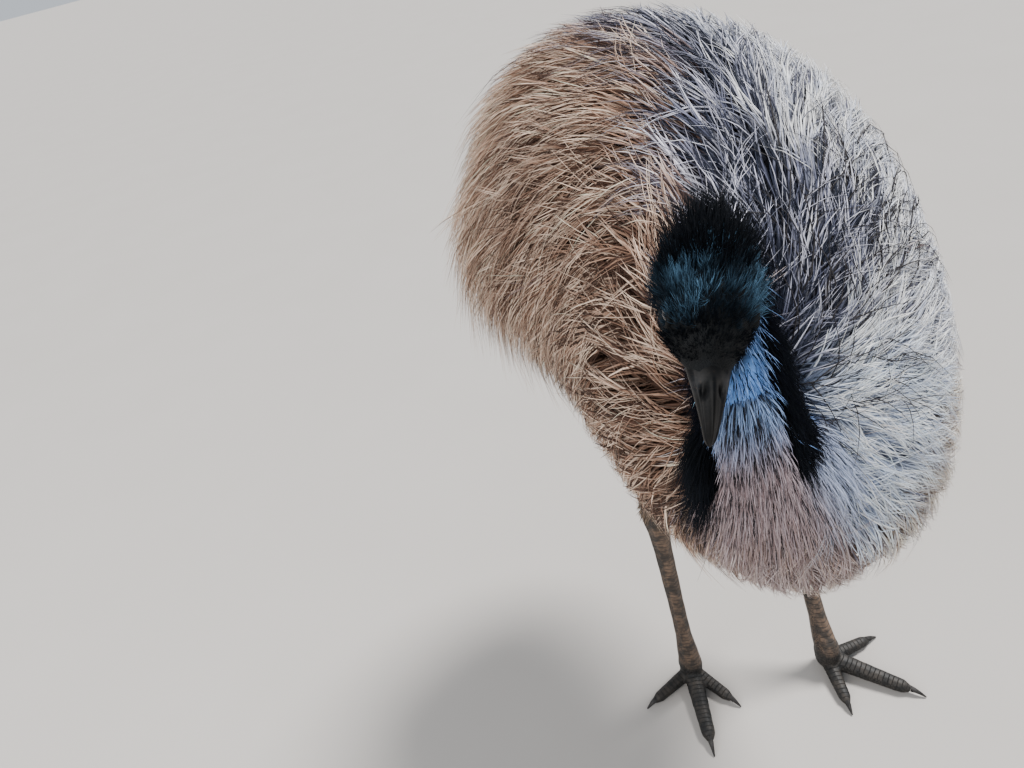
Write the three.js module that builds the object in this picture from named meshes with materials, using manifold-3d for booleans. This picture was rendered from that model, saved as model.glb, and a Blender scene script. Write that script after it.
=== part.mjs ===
// Emu at life size, standing still with its neck folded down and its bill towards the ground.
// Millimetres, +Z up. The bird faces -Y, its left side is +X and its toes stand on z = 0.

import * as THREE from 'three';
import { mergeVertices } from 'three/addons/utils/BufferGeometryUtils.js';
import Module from 'manifold-3d';

const wasm = await Module();
wasm.setup();

// Clearance between two nodes that touch
const GAP = 0.3;

// Plumage outline out to the tips, from the breast to the rump, one entry per station:
// y along the bird, x of the middle, z of the middle, half width, rise above and drop below it
const OUTLINE = [
  { y: -376, x: -70, z: 660, half: 18, rise: 22, drop: 28 },
  { y: -339, x: -58, z: 676, half: 120, rise: 116, drop: 116 },
  { y: -263, x: -40, z: 706, half: 186, rise: 198, drop: 184 },
  { y: -151, x: -18, z: 751, half: 230, rise: 262, drop: 236 },
  { y: 0, x: 0, z: 806, half: 252, rise: 286, drop: 276 },
  { y: 188, x: -16, z: 847, half: 254, rise: 276, drop: 290 },
  { y: 339, x: -38, z: 872, half: 222, rise: 214, drop: 262 },
  { y: 405, x: -48, z: 860, half: 176, rise: 156, drop: 236 },
  { y: 450, x: -54, z: 842, half: 112, rise: 96, drop: 176 },
  { y: 478, x: -58, z: 828, half: 20, rise: 26, drop: 60 },
];

// Body under the plumes, the core that every lock is rooted in
const CORE = [
  { y: -346, x: -64, z: 664, half: 14, rise: 16, drop: 16 },
  { y: -318, x: -56, z: 684, half: 92, rise: 92, drop: 98 },
  { y: -250, x: -40, z: 712, half: 158, rise: 168, drop: 146 },
  { y: -150, x: -18, z: 756, half: 194, rise: 228, drop: 180 },
  { y: 0, x: 0, z: 812, half: 190, rise: 238, drop: 158 },
  { y: 150, x: -10, z: 862, half: 136, rise: 196, drop: 112 },
  { y: 250, x: -24, z: 896, half: 86, rise: 128, drop: 76 },
  { y: 330, x: -36, z: 920, half: 48, rise: 68, drop: 42 },
  { y: 372, x: -42, z: 926, half: 16, rise: 22, drop: 18 },
];

// The parting of the plumes along the back: angle from the top of the section towards the left side
const PARTING = [
  { y: -310, angle: -22 },
  { y: -150, angle: 0 },
  { y: 40, angle: 7 },
  { y: 440, angle: 4 },
];

// The rump plumes part from the torso on a slanted plane
const TAIL_PLANE = { y: 255, z: 900, lean: 0.35 };

// Body locks: rows along the bird, locks per side in a row, and the sizes of one lock
const LOCKS = {
  seed: 11,
  rows: 10,
  perSide: 5,
  firstRow: 0.03,
  lastRow: 0.79,
  topAngle: 10,
  bottomAngle: 140,
  stagger: 0.4,
  jitter: 0.25,
  long: 245,
  longSpread: 0.3,
  wide: 66,
  wideSpread: 0.2,
  thick: 9,
  steps: 4,
  sunk: -0.22,
  tip: 1.06,
  tipSpread: 0.06,
  tipRump: 0.08,
  lift: 0.07,
  underShort: 0.6,
  sag: 30,
  curl: 0.08,
};

// How the body locks flow: lean in degrees from straight across to straight back, and how fast
// a lock rises from its root, for the back, the flank, the belly, the rump and the breast
const FLOW = {
  flankTurn: 95,
  underTurn: 165,
  rumpFrom: 0.5,
  rumpTo: 0.9,
  breastTo: 0.2,
  topLean: 62,
  flankLean: 28,
  rumpLean: 14,
  leanSpread: 7,
  topRise: 0.42,
  flankRise: 0.65,
  breastRise: 0.4,
  breastShort: 0.3,
  breastTip: 0.06,
  underBack: 0.6,
  narrowest: 90,
  farthest: 0.96,
};

// Rump locks: tiers towards the rear, locks round each tier, and how far their tips hang
const RUMP = {
  seed: 34,
  tiers: 2,
  perTier: 10,
  firstTier: 0.83,
  lastTier: 0.91,
  widest: 168,
  lowest: 172,
  back: 0.12,
  farthest: 0.965,
  turn: 8,
  tip: 0.9,
  tipFlank: 0.22,
  tipSpread: 0.06,
  wide: 84,
  wideSpread: 0.3,
  thick: 9,
  steps: 4,
  droop: 66,
  middleDroop: 0.35,
};

// Every lock: share of its full width at the root, and how much more a cutting shape grows
const LOCK_FORM = { root: 0.3, fullness: 0.8, broader: 1.15, spare: 3 };

// Head, in its own frame: origin between the eyes, bill towards -Y, crown +Z
const HEAD_PLACE = new THREE.Vector3(-198, -329, 970);
const HEAD_LEFT = new THREE.Vector3(0.921, -0.324, -0.215);
const HEAD_BACK = new THREE.Vector3(0.429, 0.655, 0.62);
const SKULL = { back: 76, front: -58, backZ: -2, frontZ: -12 };
const SKULL_STATIONS = [
  { at: 0, side: 14, up: 14, down: 14 },
  { at: 0.08, side: 27, up: 25, down: 24 },
  { at: 0.25, side: 39, up: 35, down: 33 },
  { at: 0.45, side: 43, up: 38, down: 33 },
  { at: 0.62, side: 41, up: 35, down: 28 },
  { at: 0.8, side: 32, up: 26, down: 20 },
  { at: 1, side: 21, up: 14, down: 10 },
];
const EYE = { radius: 13, side: 30, y: 0, z: 3 };
const LID = { ring: 12.6, thick: 2.6, side: 38.5 };
const EAR = { side: 38, y: 36, z: -10, radius: 6.5 };
const GAPE = { side: 31, y: -44, z: -15.5, long: 30, deep: 16, high: 1.8 };
const BILL = {
  base: -44,
  middle: -77,
  tip: -110,
  baseZ: -14,
  middleZ: -18,
  tipZ: -27,
  half: 22,
  tipHalf: 5.5,
  taper: 0.9,
  rise: 15,
  drop: 8,
  tipLift: 4,
  mouth: 0.5,
};
const CULMEN = { from: 0.25, wide: 0.42, high: 2.2 };
const NOSTRIL = { x: 6.5, y: -80, z: -9, across: 2.4, along: 8, deep: 4 };

// Bristly tuft on the nape and hind crown
const CREST = {
  seed: 5,
  count: 7,
  spread: 1.5,
  from: 20,
  to: 66,
  sink: 0.8,
  back: 0.25,
  arch: 11.5,
  long: 36,
  wide: 15,
  thick: 4,
  steps: 3,
};

// Neck: middle line, and half thickness at stations along it
const NECK_LINE = [
  [-72, -190, 720],
  [-128, -290, 765],
  [-170, -328, 850],
  [-167, -302, 930],
  [-165, -286, 970],
  [-169, -286, 1004],
];
const NECK_STATIONS = [
  { at: 0, side: 86, up: 76 },
  { at: 0.26, side: 78, up: 66 },
  { at: 0.42, side: 54, up: 46 },
  { at: 0.55, side: 40, up: 36 },
  { at: 0.75, side: 34, up: 33 },
  { at: 1, side: 33, up: 33 },
];
const NECK_PARTING_Z = 872;

// Ruff hanging over the breast from the foot of the neck: turns from the front of the neck
const RUFF = {
  seed: 23,
  front: new THREE.Vector3(-0.35, -0.94, 0),
  tiers: 3,
  perTier: 7,
  widest: 84,
  jitter: 0.2,
  topZ: 846,
  bottomZ: 752,
  lowestShare: 0.24,
  long: 106,
  longSpread: 0.3,
  wide: 42,
  thick: 7,
  steps: 4,
  sunk: -14,
  clear: 8,
  tierClear: 9,
  forward: 26,
};

// Legs: joint over the toes, hock, root inside the plumage, heading of the foot in degrees, the
// spread of the inner and outer toe from it, and the side the outer toe lies on
const LEGS = {
  right: {
    joint: [-110, 20, 42],
    hock: [-125, 42, 418],
    root: [-92, -50, 680],
    heading: -17,
    inner: 40,
    outer: 60,
    out: -1,
  },
  left: {
    joint: [112, -73, 42],
    hock: [108, 62, 402],
    root: [92, -50, 680],
    heading: 37,
    inner: 52,
    outer: 55,
    out: 1,
  },
};
const THIGH_FRONT = 14;
const THIGH_STATIONS = [
  { at: 0, side: 58, up: 74 },
  { at: 0.35, side: 56, up: 70 },
  { at: 0.7, side: 38, up: 44 },
  { at: 0.92, side: 24, up: 29 },
  { at: 1, side: 19, up: 22 },
];
const TARSUS_STATIONS = [
  { at: 0, side: 20, up: 23 },
  { at: 0.06, side: 21, up: 25 },
  { at: 0.16, side: 16.5, up: 19 },
  { at: 0.5, side: 14, up: 16.5 },
  { at: 0.82, side: 14.5, up: 17 },
  { at: 0.94, side: 19, up: 22 },
  { at: 1, side: 20, up: 23 },
];
const SCUTE = { tarsusCount: 9, toeCount: 6, step: 0.06 };
const SOLE = { drop: 46, side: 21, along: 25, low: 4 };
const TOES = {
  middle: { long: 138, half: 16.5, tipHalf: 11, rings: 14, sides: 10, claw: 34 },
  inner: { long: 88, half: 14, tipHalf: 9.5, rings: 9, sides: 8, claw: 27 },
  outer: { long: 92, half: 13.5, tipHalf: 9, rings: 9, sides: 8, claw: 26 },
};
const TOE_FORM = { startHeight: 1.25, tipHeight: 0.8, flat: 0.95, blunt: 0.9, bluntLong: 0.115 };
const CLAW = { sink: 9, half: 6.6, tipHalf: 1.2, high: 1.15, root: 0.95, bend: 0.85, bendAt: 0.55 };

const COLOURS = {
  plumage: '#8a7a68',
  tail: '#a58f78',
  ruff: '#b3a59d',
  neckSkin: '#8fa3b8',
  headDown: '#1d2226',
  bill: '#3f3a37',
  eye: '#20120a',
  leg: '#5d5347',
  claw: '#4d4a48',
};

// Seeded random numbers from 0 to 1
function randomFrom(seed) {
  let state = seed;
  return () => {
    state = (state + 0x6d2b79f5) | 0;
    let mixed = Math.imul(state ^ (state >>> 15), 1 | state);
    mixed = (mixed + Math.imul(mixed ^ (mixed >>> 7), 61 | mixed)) ^ mixed;
    return ((mixed ^ (mixed >>> 14)) >>> 0) / 4294967296;
  };
}

// Smooth value of one key of the stations at a place along them
function smoothAt(stations, place, at, key) {
  const last = stations.length - 2;
  let i = 0;
  while (i < last && at > stations[i + 1][place]) i += 1;
  const slope = (k) => {
    const low = stations[Math.max(k - 1, 0)];
    const high = stations[Math.min(k + 1, stations.length - 1)];
    return (high[key] - low[key]) / (high[place] - low[place]);
  };
  const start = stations[i];
  const end = stations[i + 1];
  const span = end[place] - start[place];
  const s = THREE.MathUtils.clamp((at - start[place]) / span, 0, 1);
  const startWeight = 2 * s ** 3 - 3 * s ** 2 + 1;
  const startPull = (s ** 3 - 2 * s ** 2 + s) * span * slope(i);
  const endPull = (s ** 3 - s ** 2) * span * slope(i + 1);
  return startWeight * start[key] + startPull + (1 - startWeight) * end[key] + endPull;
}

// Closed solid from a three.js geometry
function toSolid(geometry) {
  const bare = geometry.clone();
  bare.deleteAttribute('normal');
  bare.deleteAttribute('uv');
  const merged = mergeVertices(bare, 1e-4);
  const mesh = new wasm.Mesh({
    numProp: 3,
    vertProperties: new Float32Array(merged.attributes.position.array),
    triVerts: new Uint32Array(merged.index.array),
  });
  return new wasm.Manifold(mesh);
}

function toGeometry(solid) {
  const mesh = solid.getMesh();
  const geometry = new THREE.BufferGeometry();
  const positions = new Float32Array(mesh.vertProperties);
  geometry.setAttribute('position', new THREE.BufferAttribute(positions, 3));
  geometry.setIndex(new THREE.BufferAttribute(new Uint32Array(mesh.triVerts), 1));
  return geometry;
}

// The largest closed surface of a solid, found after its corners are welded
function largest(solid) {
  const pieces = toSolid(toGeometry(solid)).decompose();
  pieces.sort((a, b) => b.volume() - a.volume());
  return pieces[0];
}

// Moves every vertex of a closed unit sphere whose poles lie along +Y and -Y.
// place(row, angle, isPole) gives the new position; rows run from 0 at +Y to `rings` at -Y.
function warpSphere(sides, rings, place) {
  const sphere = new THREE.SphereGeometry(1, sides, rings);
  sphere.deleteAttribute('normal');
  sphere.deleteAttribute('uv');
  const geometry = mergeVertices(sphere, 1e-4);
  const points = geometry.attributes.position;
  for (let i = 0; i < points.count; i += 1) {
    const y = THREE.MathUtils.clamp(points.getY(i), -1, 1);
    const row = Math.round((Math.acos(y) / Math.PI) * rings);
    const angle = Math.atan2(points.getX(i), points.getZ(i));
    const moved = place(row, angle, row === 0 || row === rings);
    points.setXYZ(i, moved.x, moved.y, moved.z);
  }
  return geometry;
}

// Smooth line through points given as [x, y, z]
function lineThrough(points) {
  const stops = points.map((p) => new THREE.Vector3(...p));
  return new THREE.CatmullRomCurve3(stops, false, 'centripetal');
}

// Limb along a smooth line through its points. The section at t is shape(t, angle), which gives
// how far the surface lies towards `across` and towards the other side of the line.
function limb({ line, sides, rings, across, shape, grow = 0, dome = 0, even = false }) {
  const curve = lineThrough(line);
  return warpSphere(sides, rings, (row, angle, isPole) => {
    const q = THREE.MathUtils.clamp((row - 1) / (rings - 2), 0, 1);
    const t = even ? q : 0.5 - 0.5 * Math.cos(Math.PI * q);
    const middle = curve.getPointAt(t);
    const along = curve.getTangentAt(t);
    const side = across.clone().addScaledVector(along, -across.dot(along)).normalize();
    const lift = new THREE.Vector3().crossVectors(along, side);
    if (isPole) {
      return middle.addScaledVector(along, (row === 0 ? -1 : 1) * (dome + grow));
    }
    const [u, v] = shape(t, angle);
    return middle
      .addScaledVector(side, u + grow * Math.sin(angle))
      .addScaledVector(lift, v + grow * Math.cos(angle));
  });
}

// Round section from stations of half widths
function roundShape(stations) {
  return (t, angle) => [
    smoothAt(stations, 'at', t, 'side') * Math.sin(angle),
    smoothAt(stations, 'at', t, 'up') * Math.cos(angle),
  ];
}

// Flat tapered lock along a path of { point, normal }, three-sided, with its root at the first point
function lock(path, wide, thick, grow = 0) {
  const steps = path.length - 1;
  const spare = LOCK_FORM.spare * grow;
  const cone = new THREE.ConeGeometry(1, 1, 3, steps);
  cone.deleteAttribute('normal');
  cone.deleteAttribute('uv');
  const geometry = mergeVertices(cone, 1e-4);
  const points = geometry.attributes.position;
  for (let i = 0; i < points.count; i += 1) {
    const t = points.getY(i) + 0.5;
    const k = Math.round(t * steps);
    const { point, normal } = path[k];
    const before = path[Math.max(k - 1, 0)].point;
    const after = path[Math.min(k + 1, steps)].point;
    const along = after.clone().sub(before).normalize();
    const side = new THREE.Vector3().crossVectors(along, normal).normalize();
    const lift = new THREE.Vector3().crossVectors(side, along);
    const moved = point.clone();
    const isAxis = Math.hypot(points.getX(i), points.getZ(i)) < 1e-6;
    if (!isAxis) {
      const angle = Math.atan2(points.getX(i), points.getZ(i));
      const { root, fullness } = LOCK_FORM;
      const swell = Math.sin(Math.PI * (root + (1 - root) * t)) ** fullness;
      const half = 0.5 * wide * swell + spare * wide / thick;
      const high = 0.5 * thick * swell + spare;
      moved.addScaledVector(side, half * Math.sin(angle) * LOCK_FORM.broader);
      moved.addScaledVector(lift, high * Math.cos(angle));
    }
    if (k === steps) moved.addScaledVector(along, spare * wide / thick);
    if (k === 0) moved.addScaledVector(along, -spare * wide / thick);
    points.setXYZ(i, moved.x, moved.y, moved.z);
  }
  return toSolid(geometry);
}

// A box far larger than the bird, with one face on the plane and lying on the side the normal leaves
function behindPlane(point, normal) {
  const size = 4000;
  const box = new THREE.BoxGeometry(size, size, size);
  const turn = new THREE.Quaternion().setFromUnitVectors(new THREE.Vector3(0, 0, 1), normal);
  const centre = point.clone().addScaledVector(normal, -size / 2);
  box.applyMatrix4(new THREE.Matrix4().compose(centre, turn, new THREE.Vector3(1, 1, 1)));
  return toSolid(box);
}

// Splits a solid by a plane into the part ahead of it and the part behind it, GAP apart
function part(solid, point, normal) {
  const half = GAP / 2;
  const front = point.clone().addScaledVector(normal, half);
  const back = point.clone().addScaledVector(normal, -half);
  return {
    ahead: solid.subtract(behindPlane(front, normal)),
    behind: solid.intersect(behindPlane(back, normal)),
  };
}

// Point of one body surface at a share of its length and an angle from the top of the section
function sectionPoint(stations, share, angle) {
  const y = THREE.MathUtils.lerp(stations[0].y, stations[stations.length - 1].y, share);
  const value = (key) => smoothAt(stations, 'y', y, key);
  const lift = Math.cos(angle) > 0 ? value('rise') : value('drop');
  return new THREE.Vector3(
    value('x') + value('half') * Math.sin(angle),
    y,
    value('z') + lift * Math.cos(angle),
  );
}

// Point between the core (level 0) and the tips (level 1)
function coatPoint(share, angle, level) {
  return sectionPoint(CORE, share, angle).lerp(sectionPoint(OUTLINE, share, angle), level);
}

function core(grow = 0) {
  const rings = 18;
  const geometry = warpSphere(22, rings, (row, angle, isPole) => {
    const q = THREE.MathUtils.clamp((row - 1) / (rings - 2), 0, 1);
    const share = 0.5 + 0.5 * Math.cos(Math.PI * q);
    if (isPole) {
      const end = CORE[row === 0 ? CORE.length - 1 : 0];
      return new THREE.Vector3(end.x, end.y + (row === 0 ? grow : -grow), end.z);
    }
    const point = sectionPoint(CORE, share, angle);
    return point.add(new THREE.Vector3(grow * Math.sin(angle), 0, grow * Math.cos(angle)));
  });
  return toSolid(geometry);
}

// Path of one body lock from its root: away from the parting, backward, and down at the fringe
function lockPath(share, turn, side, size, lift, random) {
  const degrees = THREE.MathUtils.degToRad;
  const { lerp, smoothstep } = THREE.MathUtils;
  const bodyLong = OUTLINE[OUTLINE.length - 1].y - OUTLINE[0].y;
  const y = OUTLINE[0].y + share * bodyLong;
  const parting = degrees(smoothAt(PARTING, 'y', y, 'angle'));
  const flank = smoothstep(turn, 0, FLOW.flankTurn);
  const under = smoothstep(turn, FLOW.flankTurn, FLOW.underTurn);
  const rump = smoothstep(share, FLOW.rumpFrom, FLOW.rumpTo);
  const breast = 1 - smoothstep(share, 0, FLOW.breastTo);
  const long = LOCKS.long * size * (1 - FLOW.breastShort * breast);
  const stray = FLOW.leanSpread * (random() - 0.5);
  const lean = degrees(lerp(FLOW.topLean, FLOW.flankLean, flank) + FLOW.rumpLean * rump + stray);
  const rising = lerp(FLOW.topRise, FLOW.flankRise, flank) * (1 - FLOW.breastRise * breast);
  const radius = Math.max(smoothAt(OUTLINE, 'y', y, 'half'), FLOW.narrowest);
  const back = (long * Math.sin(lean) * (1 - FLOW.underBack * under)) / bodyLong;
  const out = (long * Math.cos(lean) * (1 - under)) / radius;
  const ragged = LOCKS.tipSpread * (random() - 0.5) + LOCKS.tipRump * rump * flank;
  const tip = (LOCKS.tip + lift + ragged) * (1 - LOCKS.underShort * under) - FLOW.breastTip * breast;
  const curl = LOCKS.curl * (random() - 0.5);
  const path = [];
  for (let k = 0; k <= LOCKS.steps; k += 1) {
    const t = k / LOCKS.steps;
    const level = lerp(LOCKS.sunk, tip, t ** rising);
    const at = Math.min(share + back * t, FLOW.farthest);
    const angle = parting + side * (degrees(turn) + out * t + curl * t * t);
    const point = coatPoint(at, angle, level);
    const normal = coatPoint(at, angle, level + 0.2).sub(point).normalize();
    point.z -= LOCKS.sag * t * t * flank * lerp(0.4, 1, rump);
    path.push({ point, normal });
  }
  return path;
}

// Share along a line of points, from 0 to 1, where it comes closest to a point, and that distance
function closestOn(line, point) {
  const curve = lineThrough(line);
  const steps = 20;
  let best = { at: 0, far: Infinity };
  for (let i = 0; i <= steps; i += 1) {
    const far = curve.getPointAt(i / steps).distanceTo(point);
    if (far < best.far) best = { at: i / steps, far };
  }
  return best;
}

function insideNeck(point) {
  const { at, far } = closestOn(NECK_LINE, point);
  return far < smoothAt(NECK_STATIONS, 'at', at, 'side');
}

function insideThigh(point) {
  return Object.values(LEGS).some((leg) => {
    const { at, far } = closestOn([leg.root, leg.hock], point);
    return far < smoothAt(THIGH_STATIONS, 'at', at, 'up');
  });
}

// One body lock, or nothing where it would only run into the neck or a thigh
function bodyLock(row, column, side, random) {
  const odd = row % 2;
  const share = THREE.MathUtils.lerp(LOCKS.firstRow, LOCKS.lastRow, row / (LOCKS.rows - 1));
  const turnShare = (column + odd * LOCKS.stagger + LOCKS.jitter * random()) / LOCKS.perSide;
  const turn = THREE.MathUtils.lerp(LOCKS.topAngle, LOCKS.bottomAngle, turnShare);
  const size = 1 + LOCKS.longSpread * (random() - 0.5);
  const path = lockPath(share, turn, side, size, odd * LOCKS.lift, random);
  const wide = LOCKS.wide * (1 + LOCKS.wideSpread * (random() - 0.5));
  const middle = path[Math.round(LOCKS.steps / 2)].point;
  if (insideNeck(path[0].point) || insideThigh(middle) || insideThigh(path[1].point)) return [];
  return [lock(path, wide, LOCKS.thick)];
}

function bodyLocks() {
  const random = randomFrom(LOCKS.seed);
  const locks = [];
  for (let row = 0; row < LOCKS.rows; row += 1) {
    for (let column = 0; column < LOCKS.perSide; column += 1) {
      for (const side of [-1, 1]) {
        locks.push(...bodyLock(row, column, side, random));
      }
    }
  }
  return locks;
}

// Path of one rump lock, from its share along the body and its turn from the top in degrees
function rumpPath(share, turn, random) {
  const degrees = THREE.MathUtils.degToRad;
  const { clamp, lerp } = THREE.MathUtils;
  const flank = Math.abs(Math.sin(degrees(turn)));
  const tip = RUMP.tip + RUMP.tipFlank * flank + RUMP.tipSpread * (random() - 0.5);
  const path = [];
  for (let k = 0; k <= RUMP.steps; k += 1) {
    const t = k / RUMP.steps;
    const at = Math.min(share + RUMP.back * t, RUMP.farthest);
    const turned = clamp(turn + Math.sign(turn) * RUMP.turn * t, -RUMP.lowest, RUMP.lowest);
    const level = lerp(LOCKS.sunk, tip, Math.sqrt(t));
    const point = coatPoint(at, degrees(turned), level);
    const normal = coatPoint(at, degrees(turned), level + 0.2).sub(point).normalize();
    point.z -= RUMP.droop * t * t * lerp(RUMP.middleDroop, 1, flank);
    path.push({ point, normal });
  }
  return path;
}

// Rump locks, fanned round the hind end and hanging in tiers
function rumpLocks(grow = 0) {
  const random = randomFrom(RUMP.seed);
  const locks = [];
  for (let tier = 0; tier < RUMP.tiers; tier += 1) {
    const share = THREE.MathUtils.lerp(RUMP.firstTier, RUMP.lastTier, tier / (RUMP.tiers - 1));
    for (let i = 0; i < RUMP.perTier; i += 1) {
      const place = i + LOCKS.jitter + 0.2 * (tier % 2) + LOCKS.jitter * random();
      const turn = RUMP.widest * ((2 * place) / RUMP.perTier - 1);
      const path = rumpPath(share, turn, random);
      const wide = RUMP.wide * (1 + RUMP.wideSpread * (random() - 0.5));
      locks.push(lock(path, wide, RUMP.thick, grow));
    }
  }
  return locks;
}

// Neck as one solid down into the breast
function neck(grow = 0) {
  return toSolid(limb({
    line: NECK_LINE,
    sides: 16,
    rings: 16,
    across: new THREE.Vector3(1, 0, 0),
    shape: roundShape(NECK_STATIONS),
    grow,
  }));
}

// Path of one ruff lock, hung clear of the neck from its root height
function ruffPath(curve, outward, rootZ, long, clear) {
  const front = RUFF.front.clone().normalize();
  const ahead = Math.max(0, outward.dot(front));
  const path = [];
  for (let k = 0; k <= RUFF.steps; k += 1) {
    const step = k / RUFF.steps;
    const z = rootZ - long * step;
    let share = RUFF.lowestShare;
    while (share < 1 && curve.getPointAt(share).z < z) share += 0.01;
    const middle = curve.getPointAt(share);
    const lifted = THREE.MathUtils.lerp(RUFF.sunk, clear, Math.sin((step * Math.PI) / 2));
    const out = smoothAt(NECK_STATIONS, 'at', share, 'side') + lifted;
    const point = new THREE.Vector3(middle.x, middle.y, z);
    point.addScaledVector(outward, out);
    point.addScaledVector(front, RUFF.forward * ahead * step * step);
    const normal = outward.clone();
    normal.z = 0.5;
    path.push({ point, normal: normal.normalize() });
  }
  return path;
}

// Ruff locks, in tiers round the front and sides of the foot of the neck
function ruffLocks(grow = 0) {
  const random = randomFrom(RUFF.seed);
  const curve = lineThrough(NECK_LINE);
  const front = RUFF.front.clone().normalize();
  const upright = new THREE.Vector3(0, 0, 1);
  const locks = [];
  for (let tier = 0; tier < RUFF.tiers; tier += 1) {
    const rootZ = THREE.MathUtils.lerp(RUFF.bottomZ, RUFF.topZ, tier / (RUFF.tiers - 1));
    for (let i = 0; i < RUFF.perTier; i += 1) {
      const place = i + 0.5 * (tier % 2) + 0.5 * RUFF.jitter * random();
      const turn = RUFF.widest * ((2 * place) / RUFF.perTier - 1);
      const outward = front.clone().applyAxisAngle(upright, THREE.MathUtils.degToRad(turn));
      const long = RUFF.long * (1 + RUFF.longSpread * (random() - 0.5));
      const path = ruffPath(curve, outward, rootZ, long, RUFF.clear + RUFF.tierClear * tier);
      locks.push(lock(path, RUFF.wide, RUFF.thick, grow));
    }
  }
  return locks;
}

const headFrame = new THREE.Matrix4();
{
  const left = HEAD_LEFT.clone().normalize();
  const back = HEAD_BACK.clone().addScaledVector(left, -HEAD_BACK.dot(left)).normalize();
  const crown = new THREE.Vector3().crossVectors(left, back);
  headFrame.makeBasis(left, back, crown).setPosition(HEAD_PLACE);
}

// Skull with its short down, in the head's own frame
function skull(grow = 0) {
  const shape = (t, angle) => {
    const value = (key) => smoothAt(SKULL_STATIONS, 'at', t, key);
    const lift = Math.cos(angle) > 0 ? value('up') : value('down');
    return [value('side') * Math.sin(angle), lift * Math.cos(angle)];
  };
  return limb({
    line: [[0, SKULL.back, SKULL.backZ], [0, SKULL.front, SKULL.frontZ]],
    sides: 16,
    rings: 11,
    across: new THREE.Vector3(1, 0, 0),
    shape,
    grow,
    dome: 6,
  });
}

function eyeBall(side, grow = 0) {
  const ball = new THREE.SphereGeometry(EYE.radius + grow, 12, 8);
  return ball.translate(side * EYE.side, EYE.y, EYE.z);
}

// Sparse bristly tufts over the hind crown and the nape
function crestTufts() {
  const random = randomFrom(CREST.seed);
  const tufts = [];
  for (let i = 0; i < CREST.count; i += 1) {
    const across = (random() - 0.5) * CREST.spread;
    const y = THREE.MathUtils.lerp(CREST.from, CREST.to, random());
    const t = (SKULL.back - y) / (SKULL.back - SKULL.front);
    const side = smoothAt(SKULL_STATIONS, 'at', t, 'side') * Math.sin(across);
    const top = smoothAt(SKULL_STATIONS, 'at', t, 'up') * Math.cos(across);
    const root = new THREE.Vector3(side, 0, top).multiplyScalar(CREST.sink);
    const normal = new THREE.Vector3(Math.sin(across), CREST.back, Math.cos(across)).normalize();
    const path = [];
    for (let k = 0; k <= CREST.steps; k += 1) {
      const step = k / CREST.steps;
      const point = root.clone().addScaledVector(normal, CREST.arch * Math.sin(step * 2) - CREST.thick);
      point.y = y + CREST.long * step;
      path.push({ point, normal });
    }
    tufts.push(lock(path, CREST.wide, CREST.thick));
  }
  return tufts;
}

// Head with its lids, ear cups and the corners of the mouth, in its own frame
function head() {
  let solid = toSolid(skull());
  for (const tuft of crestTufts()) solid = solid.add(tuft);
  for (const side of [-1, 1]) {
    const lid = new THREE.TorusGeometry(LID.ring, LID.thick, 5, 12);
    lid.rotateY(Math.PI / 2).translate(side * LID.side, EYE.y, EYE.z);
    const ear = new THREE.SphereGeometry(EAR.radius, 8, 6).translate(side * EAR.side, EAR.y, EAR.z);
    const gape = new THREE.BoxGeometry(GAPE.deep, GAPE.long, GAPE.high);
    gape.translate(side * GAPE.side, GAPE.y, GAPE.z);
    solid = solid.add(toSolid(lid));
    solid = solid.subtract(toSolid(eyeBall(side, GAP)));
    solid = solid.subtract(toSolid(ear));
    solid = solid.subtract(toSolid(gape));
  }
  return solid;
}

// One half of the bill: `half` is +1 for the upper and -1 for the lower
function billHalf(half) {
  const shape = (t, angle) => {
    const narrow = THREE.MathUtils.lerp(BILL.half, BILL.tipHalf, t ** BILL.taper);
    const lift = THREE.MathUtils.lerp(half > 0 ? BILL.rise : BILL.drop, BILL.tipLift, t);
    const ridged = half > 0 && t > CULMEN.from;
    const ridge = ridged ? CULMEN.high * Math.max(0, 1 - Math.abs(angle) / CULMEN.wide) : 0;
    const v = Math.max(Math.cos(angle) * half, 0) * lift + ridge;
    return [narrow * Math.sin(angle), half * (v + BILL.mouth / 2)];
  };
  return toSolid(limb({
    line: [
      [0, BILL.base, BILL.baseZ],
      [0, BILL.middle, BILL.middleZ],
      [0, BILL.tip, BILL.tipZ],
    ],
    sides: 14,
    rings: 10,
    across: new THREE.Vector3(1, 0, 0),
    shape,
  }));
}

function upperBill() {
  let solid = billHalf(1);
  for (const side of [-1, 1]) {
    const nostril = new THREE.SphereGeometry(1, 8, 5);
    nostril.scale(NOSTRIL.across, NOSTRIL.along, NOSTRIL.deep);
    nostril.translate(side * NOSTRIL.x, NOSTRIL.y, NOSTRIL.z);
    solid = solid.subtract(toSolid(nostril));
  }
  return solid;
}

// Feathered drumstick from inside the plumage down to the hock
function thigh(leg, grow = 0) {
  const middle = new THREE.Vector3(...leg.root).lerp(new THREE.Vector3(...leg.hock), 0.5);
  return toSolid(limb({
    line: [leg.root, [middle.x, middle.y - THIGH_FRONT, middle.z], leg.hock],
    sides: 12,
    rings: 10,
    across: new THREE.Vector3(1, 0, 0),
    shape: roundShape(THIGH_STATIONS),
    grow,
    dome: 4,
  }));
}

// Bare shank with raised scutes down it, and the padded sole under its joint
function tarsus(leg, grow = 0) {
  const plain = roundShape(TARSUS_STATIONS);
  const shape = (t, angle) => {
    const [u, v] = plain(t, angle);
    const step = 1 + SCUTE.step * ((t * SCUTE.tarsusCount) % 1);
    return [u * step, v * step];
  };
  const shank = limb({
    line: [leg.hock, leg.joint],
    sides: 8,
    rings: 2 * SCUTE.tarsusCount,
    across: new THREE.Vector3(1, 0, 0),
    shape,
    grow,
    dome: 6,
    even: true,
  });
  return toSolid(shank).add(solePad(leg, grow));
}

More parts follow.
